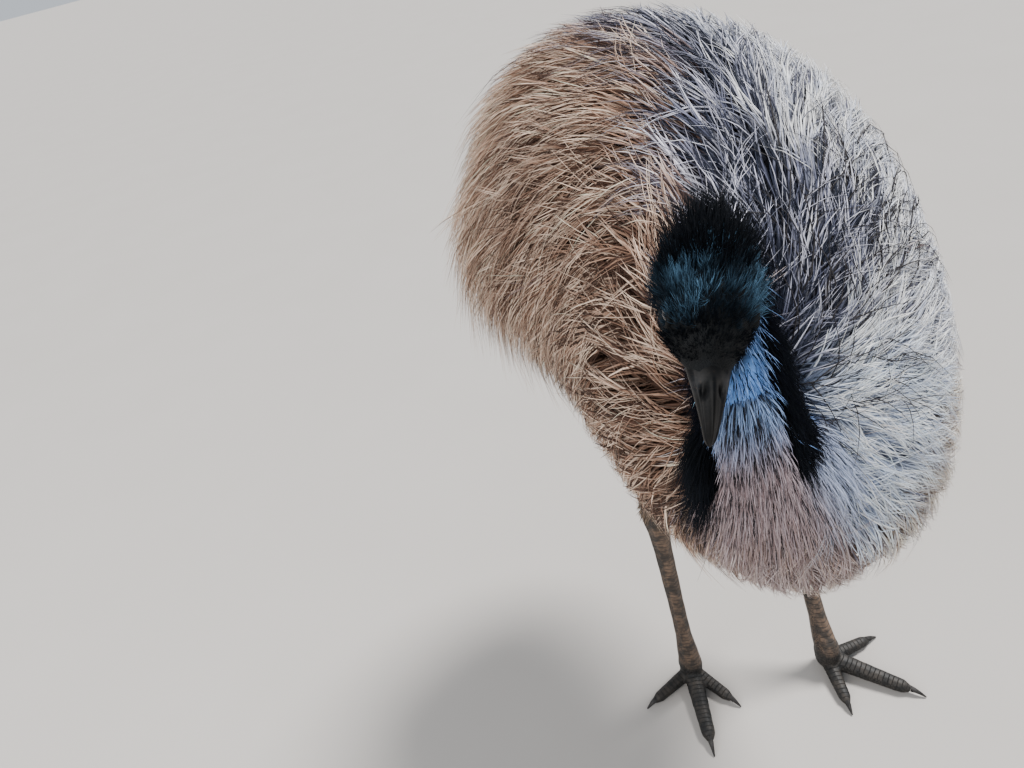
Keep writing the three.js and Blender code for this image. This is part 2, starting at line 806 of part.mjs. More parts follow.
// Flattens everything below the floor onto it
function flatten(geometry) {
  const points = geometry.attributes.position;
  for (let i = 0; i < points.count; i += 1) {
    points.setZ(i, Math.max(points.getZ(i), 0));
  }
  return geometry;
}

function solePad(leg, grow) {
  const pad = new THREE.SphereGeometry(1, 12, 8);
  pad.deleteAttribute('normal');
  pad.deleteAttribute('uv');
  const merged = mergeVertices(pad, 1e-4);
  merged.scale(SOLE.side + grow, SOLE.along + grow, SOLE.drop + grow);
  merged.translate(leg.joint[0], leg.joint[1], leg.joint[2] - SOLE.low);
  return toSolid(flatten(merged));
}

// Directions of the three toes on the floor
function toeDirection(leg, name) {
  const spread = { middle: 0, inner: -leg.inner, outer: leg.outer }[name];
  const angle = THREE.MathUtils.degToRad(leg.heading + leg.out * spread);
  return new THREE.Vector3(Math.sin(angle), -Math.cos(angle), 0);
}

// Toe with pads below, scutes above and a flat underside on the floor
function toe(leg, name, grow = 0) {
  const size = TOES[name];
  const direction = toeDirection(leg, name);
  const startZ = size.half * TOE_FORM.startHeight;
  const tipZ = size.tipHalf * TOE_FORM.tipHeight;
  const start = new THREE.Vector3(leg.joint[0], leg.joint[1], 0);
  const at = (share) => {
    const point = start.clone().addScaledVector(direction, size.long * share);
    point.z = THREE.MathUtils.lerp(startZ, tipZ, share);
    return point.toArray();
  };
  const shape = (t, angle) => {
    const past = Math.max(0, t - TOE_FORM.blunt) / TOE_FORM.bluntLong;
    const round = Math.sqrt(Math.max(0.25, 1 - past ** 2));
    const step = 1 + SCUTE.step * (1 - ((t * SCUTE.toeCount) % 1));
    const half = THREE.MathUtils.lerp(size.half, size.tipHalf, t) * round * step;
    return [half * Math.sin(angle), half * TOE_FORM.flat * Math.cos(angle)];
  };
  const body = limb({
    line: [at(0), at(0.5), at(1)],
    sides: size.sides,
    rings: size.rings,
    across: new THREE.Vector3(-direction.y, direction.x, 0),
    shape,
    grow,
    even: true,
  });
  return toSolid(flatten(body));
}

// Blunt claw at the end of a toe, resting on the floor
function claw(leg, name) {
  const size = TOES[name];
  const direction = toeDirection(leg, name);
  const start = new THREE.Vector3(leg.joint[0], leg.joint[1], 0);
  const at = (far, z) => {
    const point = start.clone().addScaledVector(direction, size.long - CLAW.sink + far);
    point.z = z;
    return point.toArray();
  };
  const shape = (t, angle) => {
    const half = THREE.MathUtils.lerp(CLAW.half, CLAW.tipHalf, t);
    return [half * Math.sin(angle), half * CLAW.high * Math.cos(angle)];
  };
  const body = limb({
    line: [
      at(0, size.tipHalf * CLAW.root),
      at(size.claw * CLAW.bendAt, size.tipHalf * CLAW.bend),
      at(size.claw, CLAW.tipHalf * CLAW.high),
    ],
    sides: 8,
    rings: 6,
    across: new THREE.Vector3(-direction.y, direction.x, 0),
    shape,
  });
  return toSolid(flatten(body));
}

const emu = new THREE.Group();
const headGroup = new THREE.Group();
headGroup.applyMatrix4(headFrame);
emu.add(headGroup);

function addNode(parent, name, solid, colour, roughness = 0.85) {
  const material = new THREE.MeshStandardMaterial({ color: colour, roughness, metalness: 0 });
  const mesh = new THREE.Mesh(toGeometry(largest(solid)), material);
  mesh.name = name;
  parent.add(mesh);
}

// Head and bill
const skullShell = toSolid(skull(GAP));
addNode(headGroup, 'head', head(), COLOURS.headDown);
addNode(headGroup, 'bill_upper', upperBill().subtract(skullShell), COLOURS.bill, 0.45);
addNode(headGroup, 'bill_lower', billHalf(-1).subtract(skullShell), COLOURS.bill, 0.5);
for (const [name, side] of [['eye_left', 1], ['eye_right', -1]]) {
  addNode(headGroup, name, toSolid(eyeBall(side)), COLOURS.eye, 0.1);
}

// Neck, cut from the head and parted into its bare upper and feathered lower length
const skullInPlace = toSolid(skull(GAP).applyMatrix4(headFrame));
const neckParts = part(
  neck().subtract(skullInPlace),
  new THREE.Vector3(0, 0, NECK_PARTING_Z),
  new THREE.Vector3(0, 0, 1),
);
let neckLower = neckParts.behind;
for (const piece of ruffLocks()) neckLower = neckLower.add(piece);
addNode(emu, 'neck_upper', neckParts.ahead, COLOURS.neckSkin);
addNode(emu, 'neck_lower', neckLower, COLOURS.ruff);

// Torso and tail: the core parted by a plane, the torso cut clear of all that it touches
const tailNormal = new THREE.Vector3(0, 1, -TAIL_PLANE.lean).normalize();
const tailPoint = new THREE.Vector3(0, TAIL_PLANE.y, TAIL_PLANE.z);
const coreParts = part(core(), tailPoint, tailNormal);
let tail = coreParts.ahead;
for (const piece of rumpLocks()) tail = tail.add(piece);
addNode(emu, 'tail', tail, COLOURS.tail);
let torso = coreParts.behind;
for (const piece of bodyLocks()) torso = torso.add(piece);
torso = torso.subtract(core(GAP).subtract(behindPlane(tailPoint, tailNormal)));
for (const piece of [...rumpLocks(GAP), ...ruffLocks(GAP)]) torso = torso.subtract(piece);
torso = torso.subtract(neck(GAP));
for (const leg of Object.values(LEGS)) torso = torso.subtract(thigh(leg, GAP));
addNode(emu, 'torso', torso, COLOURS.plumage);

// Legs
for (const [side, leg] of Object.entries(LEGS)) {
  const shank = tarsus(leg);
  const shankShell = tarsus(leg, GAP);
  addNode(emu, `thigh_${side}`, thigh(leg).subtract(shankShell), COLOURS.plumage);
  addNode(emu, `tarsus_${side}`, shank, COLOURS.leg);
  const middleShell = toe(leg, 'middle', GAP);
  for (const name of Object.keys(TOES)) {
    let solid = toe(leg, name).subtract(shankShell);
    if (name !== 'middle') solid = solid.subtract(middleShell);
    addNode(emu, `toe_${name}_${side}`, solid, COLOURS.leg);
    const nail = claw(leg, name).subtract(toe(leg, name, GAP));
    addNode(emu, `claw_${name}_${side}`, nail, COLOURS.claw, 0.5);
  }
}

// Origin on the floor under the middle of the bird's box
emu.updateMatrixWorld(true);
const centre = new THREE.Box3().setFromObject(emu, true).getCenter(new THREE.Vector3());
emu.position.set(-centre.x, -centre.y, 0);

export default emu;
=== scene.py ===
"""Dresses the standing emu: skin under separate plumes, hair-covered head, horny bill, scaled legs."""

import logging
import math
from dataclasses import dataclass, field
from enum import Enum
from typing import Callable, Sequence

import bmesh
import bpy
import numpy as np
from mathutils import Matrix, Vector


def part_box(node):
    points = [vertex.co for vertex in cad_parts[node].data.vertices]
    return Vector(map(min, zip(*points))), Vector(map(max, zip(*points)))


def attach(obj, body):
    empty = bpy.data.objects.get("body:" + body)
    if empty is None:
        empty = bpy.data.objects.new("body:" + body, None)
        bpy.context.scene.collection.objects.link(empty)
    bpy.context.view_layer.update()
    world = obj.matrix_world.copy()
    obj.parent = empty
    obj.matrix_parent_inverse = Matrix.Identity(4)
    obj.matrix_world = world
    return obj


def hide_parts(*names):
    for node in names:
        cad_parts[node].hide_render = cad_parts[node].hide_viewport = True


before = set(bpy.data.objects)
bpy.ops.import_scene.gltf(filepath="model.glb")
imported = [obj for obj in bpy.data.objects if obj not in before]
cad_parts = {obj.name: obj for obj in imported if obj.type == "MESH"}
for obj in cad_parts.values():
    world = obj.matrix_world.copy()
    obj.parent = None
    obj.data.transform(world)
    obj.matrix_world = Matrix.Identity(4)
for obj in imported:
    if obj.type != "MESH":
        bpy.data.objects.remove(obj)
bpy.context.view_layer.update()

LOG = logging.getLogger("emu")
MM = 0.001
BODY = "root"

# Stations along the body, in millimetres in the bird's own frame: y, x of the middle, z of the middle,
# half width, rise above the middle and drop below it
OUTLINE = np.array([
    (-376, -70, 660, 18, 22, 28),
    (-339, -58, 676, 120, 116, 116),
    (-263, -40, 706, 186, 198, 184),
    (-151, -18, 751, 230, 262, 236),
    (0, 0, 806, 252, 286, 276),
    (188, -16, 847, 254, 276, 290),
    (339, -38, 872, 222, 214, 262),
    (405, -48, 860, 176, 156, 236),
    (450, -54, 842, 112, 96, 176),
    (478, -58, 828, 20, 26, 60),
], dtype=float)
CORE = np.array([
    (-346, -64, 664, 14, 16, 16),
    (-318, -56, 684, 92, 92, 98),
    (-250, -40, 712, 158, 168, 146),
    (-150, -18, 756, 194, 228, 180),
    (0, 0, 812, 190, 238, 158),
    (150, -10, 862, 136, 196, 112),
    (250, -24, 896, 86, 128, 76),
    (330, -36, 920, 48, 68, 42),
    (372, -42, 926, 16, 22, 18),
], dtype=float)
# The parting along the back: y and its turn from the top of the section, in degrees
PARTING = np.array([(-310, -22), (-150, 0), (40, 7), (440, 4)], dtype=float)

# Place of the head and its directions, in the bird's own frame
HEAD_PLACE = np.array((-198.0, -329.0, 970.0))
HEAD_LEFT = np.array((0.921, -0.324, -0.215))
HEAD_BACK = np.array((0.429, 0.655, 0.62))

# Middle line of the neck from the body to the skull; its stations give share, half width, half depth
NECK_LINE = np.array([
    (-72, -190, 720),
    (-128, -290, 765),
    (-170, -328, 850),
    (-167, -302, 930),
    (-165, -286, 970),
    (-169, -286, 1004),
], dtype=float)
NECK_STATIONS = np.array([
    (0, 86, 76),
    (0.26, 78, 66),
    (0.42, 54, 46),
    (0.55, 40, 36),
    (0.75, 33, 32),
    (1, 32, 32),
], dtype=float)

# Stations of a thigh: share, half width, half depth
THIGH_STATIONS = np.array([
    (0, 52, 66),
    (0.35, 50, 62),
    (0.7, 34, 39),
    (0.92, 22, 27),
    (1, 17, 20),
], dtype=float)

# Inner points from which rays lay the foremost and the rearmost plumes onto the coat
BREAST_MIDDLE = np.array((-30.0, -190.0, 742.0))
RUMP_Y = 170.0


class Side(Enum):
    """Side of the bird; the value is the sign of x."""

    LEFT = 1
    RIGHT = -1


@dataclass(frozen=True)
class Leg:
    """Middle lines of one leg, in millimetres in the bird's own frame."""

    side: Side
    joint: tuple[float, float, float]
    hock: tuple[float, float, float]
    root: tuple[float, float, float]


LEGS = (
    Leg(Side.RIGHT, (-110, 20, 42), (-125, 42, 418), (-92, -50, 680)),
    Leg(Side.LEFT, (112, -73, 42), (108, 62, 402), (92, -50, 680)),
)


# Small mathematics, all on arrays

def smoothstep(value: np.ndarray, low: float, high: float) -> np.ndarray:
    """Returns 0 below low, 1 above high and a smooth ramp between."""
    s = np.clip((np.asarray(value, float) - low) / (high - low), 0, 1)
    return s * s * (3 - 2 * s)


def bump(value: np.ndarray, middle: float, reach: float) -> np.ndarray:
    """Returns 1 at the middle, falling smoothly to 0 at the reach on both sides."""
    return 1 - smoothstep(np.abs(np.asarray(value, float) - middle), 0, reach)


def unit(vectors: np.ndarray) -> np.ndarray:
    """Returns the vectors at length 1."""
    return vectors / np.maximum(np.linalg.norm(vectors, axis=-1, keepdims=True), 1e-9)


def station(rows: np.ndarray, at: np.ndarray, column: int) -> np.ndarray:
    """Smooth value of one column of a station table.

    Args:
        rows: the table, its first column rising.
        at: places along the first column.
        column: the column that is read.

    Returns:
        One value for each place.
    """
    xs, ys = rows[:, 0], rows[:, column]
    last = len(xs) - 1
    low = np.maximum(np.arange(last + 1) - 1, 0)
    high = np.minimum(np.arange(last + 1) + 1, last)
    slopes = (ys[high] - ys[low]) / (xs[high] - xs[low])
    at = np.asarray(at, float)
    i = np.clip(np.searchsorted(xs, at, side="right") - 1, 0, last - 1)
    span = xs[i + 1] - xs[i]
    s = np.clip((at - xs[i]) / span, 0, 1)
    weight = 2 * s**3 - 3 * s**2 + 1
    start = weight * ys[i] + (s**3 - 2 * s**2 + s) * span * slopes[i]
    return start + (1 - weight) * ys[i + 1] + (s**3 - s**2) * span * slopes[i + 1]


def section_point(rows: np.ndarray, share: np.ndarray, angle: np.ndarray) -> np.ndarray:
    """Point of one body surface.

    Args:
        rows: the stations of the surface.
        share: place along the body, 0 at the breast and 1 at the rump.
        angle: turn from the top of the section towards the left side, in radians.

    Returns:
        Points in millimetres, in the bird's own frame.
    """
    y = rows[0, 0] + np.asarray(share, float) * (rows[-1, 0] - rows[0, 0])
    lift = np.where(np.cos(angle) > 0, station(rows, y, 4), station(rows, y, 5))
    x = station(rows, y, 1) + station(rows, y, 3) * np.sin(angle)
    z = station(rows, y, 2) + lift * np.cos(angle)
    return np.stack(np.broadcast_arrays(x, y, z), -1)


def coat_point(share: np.ndarray, angle: np.ndarray, level: np.ndarray) -> np.ndarray:
    """Point between the core, at level 0, and the tips of the coat, at level 1."""
    level = np.asarray(level, float)[..., None]
    return section_point(CORE, share, angle) * (1 - level) + section_point(OUTLINE, share, angle) * level


def outline_angle(share: np.ndarray, turn: np.ndarray) -> np.ndarray:
    """Turn from the top of the section, in radians, for a turn in degrees from the parting."""
    y = OUTLINE[0, 0] + share * (OUTLINE[-1, 0] - OUTLINE[0, 0])
    return np.radians(station(PARTING, y, 1) + turn)


def tangents(share: np.ndarray, angle: np.ndarray) -> tuple[np.ndarray, np.ndarray]:
    """How the outline's point moves with the share and with the angle, in millimetres."""
    h = 2e-3
    by_share = section_point(OUTLINE, share + h, angle) - section_point(OUTLINE, share - h, angle)
    by_angle = section_point(OUTLINE, share, angle + h) - section_point(OUTLINE, share, angle - h)
    return by_share / (2 * h), by_angle / (2 * h)


def steer(share: np.ndarray, angle: np.ndarray, heading: np.ndarray) -> tuple[np.ndarray, np.ndarray]:
    """Change of share and angle for each millimetre along a heading on the outline.

    Args:
        share: place along the body.
        angle: turn from the top of the section, in radians.
        heading: direction in the bird's own frame.

    Returns:
        Change of the share and change of the angle.
    """
    by_share, by_angle = tangents(share, angle)
    ss, aa, sa = (by_share**2).sum(-1), (by_angle**2).sum(-1), (by_share * by_angle).sum(-1)
    hs, ha = (heading * by_share).sum(-1), (heading * by_angle).sum(-1)
    area = np.maximum(ss * aa - sa * sa, 0.02 * ss * aa + 1e-6)
    return (hs * aa - ha * sa) / area, (ha * ss - hs * sa) / area


def is_outside(points: np.ndarray, level: np.ndarray) -> np.ndarray:
    """Tells which points lie outside the surface of their level."""
    first = CORE[0, 0] + (OUTLINE[0, 0] - CORE[0, 0]) * level
    long = (CORE[-1, 0] - CORE[0, 0]) * (1 - level) + (OUTLINE[-1, 0] - OUTLINE[0, 0]) * level
    share = (points[..., 1] - first) / long
    inner = CORE[0, 0] + share * (CORE[-1, 0] - CORE[0, 0])
    outer = OUTLINE[0, 0] + share * (OUTLINE[-1, 0] - OUTLINE[0, 0])

    def at_level(column: int) -> np.ndarray:
        """One column of both tables, mixed by level."""
        return station(CORE, inner, column) * (1 - level) + station(OUTLINE, outer, column) * level

    off = points[..., 2] - at_level(2)
    lift = np.where(off > 0, at_level(4), at_level(5))
    round_it = ((points[..., 0] - at_level(1)) / at_level(3)) ** 2 + (off / lift) ** 2
    return (round_it > 1) | (share < 0) | (share > 1)


def onto_level(points: np.ndarray, level: np.ndarray, centre: np.ndarray) -> np.ndarray:
    """Moves points along rays from a centre inside the body to the surface of their level."""
    ray = unit(points - centre)
    near, far = np.full(ray.shape[:-1], 20.0), np.full(ray.shape[:-1], 560.0)
    for _ in range(13):
        middle = 0.5 * (near + far)
        outside = is_outside(centre + ray * middle[..., None], level)
        far = np.where(outside, middle, far)
        near = np.where(outside, near, middle)
    return centre + ray * near[..., None]


def find_shift() -> np.ndarray:
    """Finds where the bird's own frame lies in the part's frame, from the two eyes, in millimetres."""
    crown = np.cross(HEAD_LEFT, HEAD_BACK)
    middle = np.zeros(3)
    for name in ("eye_left", "eye_right"):
        low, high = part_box(name)
        middle += 0.25 * (np.array(low) + np.array(high)) / MM
    place = HEAD_PLACE + 3 * crown / np.linalg.norm(crown)
    shift = middle - place
    shift[2] = 0
    return shift


SHIFT = find_shift()


def to_part(points: np.ndarray) -> np.ndarray:
    """Takes points from the bird's own frame in millimetres to the part's frame in metres."""
    return (np.asarray(points, float) + SHIFT) * MM


def to_bird(points: np.ndarray) -> np.ndarray:
    """Takes points from the part's frame in metres to the bird's own frame in millimetres."""
    return np.asarray(points, float) / MM - SHIFT


def head_axes() -> tuple[np.ndarray, np.ndarray, np.ndarray]:
    """Returns the head's left, back and crown directions, square to each other."""
    left = unit(HEAD_LEFT)
    back = unit(HEAD_BACK - HEAD_BACK.dot(left) * left)
    return left, back, np.cross(left, back)


def from_head(points: np.ndarray) -> np.ndarray:
    """Takes points from the head's own frame to the bird's, both in millimetres."""
    left, back, crown = head_axes()
    points = np.asarray(points, float)
    return HEAD_PLACE + points[..., :1] * left + points[..., 1:2] * back + points[..., 2:3] * crown


def to_head(points: np.ndarray) -> np.ndarray:
    """Takes points from the bird's own frame to the head's, both in millimetres."""
    return np.stack([(points - HEAD_PLACE) @ axis for axis in head_axes()], -1)


def curve_points(line: np.ndarray, t: np.ndarray) -> np.ndarray:
    """Points of a smooth curve through the given ones, by its length.

    Args:
        line: the points it runs through.
        t: places from 0 to 1.

    Returns:
        One point for each place.
    """
    line = np.asarray(line, float)
    padded = np.vstack([2 * line[0] - line[1], line, 2 * line[-1] - line[-2]])
    pieces = []
    for i in range(len(line) - 1):
        p = padded[i:i + 4]
        knots = np.concatenate([[0], np.cumsum(np.linalg.norm(np.diff(p, axis=0), axis=1) ** 0.5)])
        u = np.linspace(knots[1], knots[2], 24)[:, None]
        a = [p[k] + (p[k + 1] - p[k]) * (u - knots[k]) / (knots[k + 1] - knots[k]) for k in range(3)]
        b = [a[k] + (a[k + 1] - a[k]) * (u - knots[k]) / (knots[k + 2] - knots[k]) for k in range(2)]
        pieces.append(b[0] + (b[1] - b[0]) * (u - knots[1]) / (knots[2] - knots[1]))
    dense = np.vstack(pieces)
    far = np.concatenate([[0], np.cumsum(np.linalg.norm(np.diff(dense, axis=0), axis=1))])
    return np.stack([np.interp(np.asarray(t) * far[-1], far, dense[:, k]) for k in range(3)], -1)


def curve_frame(line: np.ndarray, t: np.ndarray, across: np.ndarray) -> tuple[np.ndarray, ...]:
    """Middle, side, lift and along directions of a limb at places along its line."""
    middle = curve_points(line, t)
    along = unit(curve_points(line, np.clip(t + 0.01, 0, 1)) - curve_points(line, np.clip(t - 0.01, 0, 1)))
    side = unit(across - (along @ across)[..., None] * along)
    return middle, side, np.cross(along, side), along


# Meshes

def link(name: str, mesh: bpy.types.Mesh, smooth: bool = True) -> bpy.types.Object:
    """Puts a mesh into the scene as a piece with smooth faces."""
    piece = bpy.data.objects.new(name, mesh)
    bpy.context.scene.collection.objects.link(piece)
    mesh.shade_smooth() if smooth else mesh.shade_flat()
    return piece


def coordinates(mesh: bpy.types.Mesh) -> np.ndarray:
    """Returns the vertex coordinates of a mesh, one row each."""
    flat = np.empty(3 * len(mesh.vertices))
    mesh.vertices.foreach_get("co", flat)
    return flat.reshape(-1, 3)


def normals(mesh: bpy.types.Mesh) -> np.ndarray:
    """Returns the vertex normals of a mesh, one row each."""
    flat = np.empty(3 * len(mesh.vertices))
    mesh.vertices.foreach_get("normal", flat)
    return flat.reshape(-1, 3)


def move_to(mesh: bpy.types.Mesh, points: np.ndarray) -> None:
    """Moves the vertices of a mesh to the given points."""
    mesh.vertices.foreach_set("co", np.ascontiguousarray(points, dtype=np.float32).ravel())
    mesh.update()


def paint(mesh: bpy.types.Mesh, name: str, colours: np.ndarray) -> None:
    """Keeps one linear colour for each vertex under the given name."""
    layer = mesh.color_attributes.new(name, "FLOAT_COLOR", "POINT")
    rgba = np.ones((len(mesh.vertices), 4), dtype=np.float32)
    rgba[:, :3] = np.clip(colours, 0, 1)
    layer.data.foreach_set("color", rgba.ravel())


def mark(mesh: bpy.types.Mesh, name: str, values: np.ndarray) -> None:
    """Keeps one number for each vertex under the given name."""
    layer = mesh.attributes.new(name, "FLOAT", "POINT")
    layer.data.foreach_set("value", np.ascontiguousarray(values, dtype=np.float32))


Place = Callable[[np.ndarray, np.ndarray], np.ndarray]


def warped_sphere(sides: int, rings: int, place: Place) -> bpy.types.Mesh:
    """Closed surface from a sphere whose vertices are moved.

    Args:
        sides: faces round the sphere.
        rings: rows of faces from pole to pole.
        place: gives the new points from q, 0 to 1 from the first pole to the other, and the angle.

    Returns:
        The mesh, in the part's frame.
    """
    mesh = bpy.data.meshes.new("form")
    bm = bmesh.new()
    bmesh.ops.create_uvsphere(bm, u_segments=sides, v_segments=rings, radius=1)
    bm.to_mesh(mesh)
    bm.free()
    co = coordinates(mesh)
    q = np.arccos(np.clip(co[:, 2], -1, 1)) / math.pi
    move_to(mesh, to_part(place(q, np.arctan2(co[:, 0], co[:, 1]))))
    tidy_normals(mesh)
    return mesh


def tidy_normals(mesh: bpy.types.Mesh) -> None:
    """Merges doubles and points every face outwards."""
    bm = bmesh.new()
    bm.from_mesh(mesh)
    bmesh.ops.remove_doubles(bm, verts=bm.verts, dist=1e-6)
    bmesh.ops.recalc_face_normals(bm, faces=bm.faces)
    bm.to_mesh(mesh)
    bm.free()


def limb_mesh(line: np.ndarray, stations: np.ndarray, sides: int, rings: int,
              inset: float = 0) -> bpy.types.Mesh:
    """Round limb along a line.

    Args:
        line: points of its middle line.
        stations: share along the line, half width to the side, half width up.
        sides: faces round it.
        rings: rows of faces along it.
        inset: how far the surface lies inside the stations.

    Returns:
        The closed mesh, whose ends bulge a little.
    """
    dome = 4.0
    across = np.array((1.0, 0, 0))

    def place(q: np.ndarray, angle: np.ndarray) -> np.ndarray:
        """Point of the limb for one vertex of the sphere."""
        t = np.clip((q * rings - 1) / (rings - 2), 0, 1)
        middle, side, lift, along = curve_frame(line, t, across)
        end = np.where(q < 0.5 / rings, -dome, np.where(q > 1 - 0.5 / rings, dome, 0))
        is_body = ((q > 0.5 / rings) & (q < 1 - 0.5 / rings)).astype(float)
        half = (station(stations, t, 1) - inset) * is_body
        high = (station(stations, t, 2) - inset) * is_body
        return (middle + side * (half * np.sin(angle))[:, None] + lift * (high * np.cos(angle))[:, None]
                + along * end[:, None])

    return warped_sphere(sides, rings, place)


def joined(name: str, meshes: Sequence[bpy.types.Mesh]) -> bpy.types.Mesh:
    """Puts several meshes into one."""
    bm = bmesh.new()
    for mesh in meshes:
        bm.from_mesh(mesh)
    result = bpy.data.meshes.new(name)
    bm.to_mesh(result)
    bm.free()
    return result


def evaluated(piece: bpy.types.Object) -> bpy.types.Mesh:
    """Returns a piece's mesh with its modifiers applied, and removes the piece."""
    depsgraph = bpy.context.evaluated_depsgraph_get()
    mesh = bpy.data.meshes.new_from_object(piece.evaluated_get(depsgraph))
    bpy.data.objects.remove(piece)
    return mesh


def fused(name: str, meshes: Sequence[bpy.types.Mesh], voxel: float, smoothing: int) -> bpy.types.Mesh:
    """One closed skin over several overlapping closed meshes.

    Args:
        name: name of the new mesh.
        meshes: the meshes that it covers.
        voxel: size of its faces, in metres.
        smoothing: rounds of smoothing.

    Returns:
        The skin.
    """
    piece = link(name, joined(name, meshes))
    remesh = piece.modifiers.new("one skin", "REMESH")
    remesh.mode = "VOXEL"
    remesh.voxel_size = voxel
    soften = piece.modifiers.new("soft", "SMOOTH")
    soften.factor = 0.5
    soften.iterations = smoothing
    return evaluated(piece)


def merged_copy(node: str) -> bpy.types.Mesh:
    """Copies a node's mesh with its loose triangles joined."""
    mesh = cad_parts[node].data.copy()
    bm = bmesh.new()
    bm.from_mesh(mesh)
    bmesh.ops.remove_doubles(bm, verts=bm.verts, dist=1e-6)
    bm.to_mesh(mesh)
    bm.free()
    return mesh


def finish_piece(piece: bpy.types.Object, nodes: Sequence[str] = ()) -> None:
    """Lets a piece ride on the bird, hides the nodes that it stands for and logs its face count."""
    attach(piece, BODY)
    if nodes:
        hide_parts(*nodes)
    LOG.info("%s: %d faces", piece.name, len(piece.data.polygons))


# Strands

def strand_count(full: int) -> int:
    """Number of strands in this run."""
    return int(full * (1))


@dataclass
class Strands:
    """Many closed three-sided tapering strands, as arrays with one row a strand.

    points and lifts are (count, steps, 3) in millimetres in the bird's frame, half is the half width
    at the widest, thick the thickness, root the colour at the root, tip at the end, and spot the
    place of the root on the unwrapped skin.
    """

    points: np.ndarray
    lifts: np.ndarray
    half: np.ndarray
    thick: np.ndarray
    root: np.ndarray
    middle: np.ndarray
    tip: np.ndarray
    spot: np.ndarray
    seed: int
    blunt: float = 0.35

    PATCH = 0.003
    WIDEN = 1.15
    MIDDLE_AT = 0.55

    def part_of(self, chosen: np.ndarray) -> "Strands":
        """Returns the chosen strands alone."""
        names = ("points", "lifts", "half", "thick", "root", "middle", "tip", "spot")
        kept = {name: getattr(self, name)[chosen] for name in names}
        return Strands(**kept, seed=self.seed, blunt=self.blunt)

    def build(self, name: str, material: bpy.types.Material) -> bpy.types.Object:
        """Makes the strands one piece.

        Args:
            name: name of the piece.
            material: its finish.

        Returns:
            The piece.
        """
        count, steps = self.points.shape[:2]
        mesh = evaluated(self._row(steps, count))
        ring, angle = self._places(mesh, count, steps)
        each = np.repeat(np.arange(count), len(ring))
        k = np.tile(ring, count)
        turn = np.tile(angle, count)
        after = self.points[:, np.minimum(np.arange(steps) + 1, steps - 1)]
        before = self.points[:, np.maximum(np.arange(steps) - 1, 0)]
        along = unit(after - before)
        side = unit(np.cross(along, self.lifts))
        lift = np.cross(side, along)
        t = k / (steps - 1)
        swell = np.where(k == steps - 1, 0, np.sin(math.pi * (self.blunt + (1 - self.blunt) * t)) ** 0.75)
        across = (self.half[each] * swell * np.sin(turn) * self.WIDEN)[:, None]
        high = (self.thick[each] * swell * np.cos(turn) * 0.5)[:, None]
        place = self.points[each, k] + side[each, k] * across + lift[each, k] * high
        move_to(mesh, to_part(place))
        self._colour(mesh, each, t)
        rng = np.random.default_rng(self.seed)
        mark(mesh, "along", t)
        mark(mesh, "across", 0.5 + 0.5 * np.sin(turn) * self.WIDEN)
        mark(mesh, "own", rng.random(count)[each])
        self._unwrap(mesh, each, t, 0.5 + 0.5 * np.sin(turn))
        mesh.materials.append(material)
        return link(name, mesh)

    @staticmethod
    def _row(steps: int, count: int) -> bpy.types.Object:
        """One strand with a ring at each step, repeated in a row."""
        mesh = bpy.data.meshes.new("strand")
        bm = bmesh.new()
        bmesh.ops.create_cone(bm, cap_ends=True, cap_tris=False, segments=3, radius1=1, radius2=0, depth=1)
        bmesh.ops.remove_doubles(bm, verts=bm.verts, dist=1e-5)
        for k in range(1, steps - 1):
            parts = bm.verts[:] + bm.edges[:] + bm.faces[:]
            height = k / (steps - 1) - 0.5
            bmesh.ops.bisect_plane(bm, geom=parts, plane_co=(0, 0, height), plane_no=(0, 0, 1))
        bm.to_mesh(mesh)
        bm.free()
        piece = link("strand", mesh)
        many = piece.modifiers.new("many", "ARRAY")
        many.count = count
        many.use_relative_offset = False
        many.use_constant_offset = True
        many.constant_offset_displace = (3, 0, 0)
        return piece

    @staticmethod
    def _places(mesh: bpy.types.Mesh, count: int, steps: int) -> tuple[np.ndarray, np.ndarray]:
        """Ring and angle of each vertex of the first strand in the row."""
        first = coordinates(mesh)[:len(mesh.vertices) // count]
        ring = np.rint((first[:, 2] + 0.5) * (steps - 1)).astype(int)
        return ring, np.arctan2(first[:, 0], first[:, 1])

    def _colour(self, mesh: bpy.types.Mesh, each: np.ndarray, t: np.ndarray) -> None:
        """Blends the root, middle and tip colours along each strand."""
        low = np.clip(t / self.MIDDLE_AT, 0, 1)
        high = np.clip((t - self.MIDDLE_AT) / (1 - self.MIDDLE_AT), 0, 1)
        colours = blended(self.root[each], self.middle[each], low)
        paint(mesh, "coat_colour", blended(colours, self.tip[each], high))

    def _unwrap(self, mesh: bpy.types.Mesh, each: np.ndarray, t: np.ndarray, across: np.ndarray) -> None:
        """Lays each strand as a small patch at its root's place on the unwrapped skin."""
        index = np.empty(len(mesh.loops), dtype=np.int32)
        mesh.loops.foreach_get("vertex_index", index)
        uv = self.spot[each] + self.PATCH * np.stack([across - 0.5, t - 0.5], -1)
        for old in list(mesh.uv_layers):
            mesh.uv_layers.remove(old)
        layer = mesh.uv_layers.new(name="OFBake")
        layer.data.foreach_set("uv", uv[index].astype(np.float32).ravel())


def tint(rng: np.random.Generator, colours: np.ndarray, spread: float) -> np.ndarray:
    """Makes each colour a little lighter or darker."""
    return colours * np.exp(spread * rng.standard_normal(len(colours)))[:, None]


def blended(first: np.ndarray, second: np.ndarray, share: np.ndarray) -> np.ndarray:
    """Mixes two colours, or two rows of colours, by one share for each row."""
    share = share[:, None]
    return first * (1 - share) + second * share


def pick(rng: np.random.Generator, weights: np.ndarray) -> np.ndarray:
    """Draws a column for each row, with the row's weights."""
    total = np.cumsum(weights / weights.sum(1, keepdims=True), axis=1)
    return (rng.random((len(weights), 1)) > total).sum(1).clip(0, weights.shape[1] - 1)


# Finishes

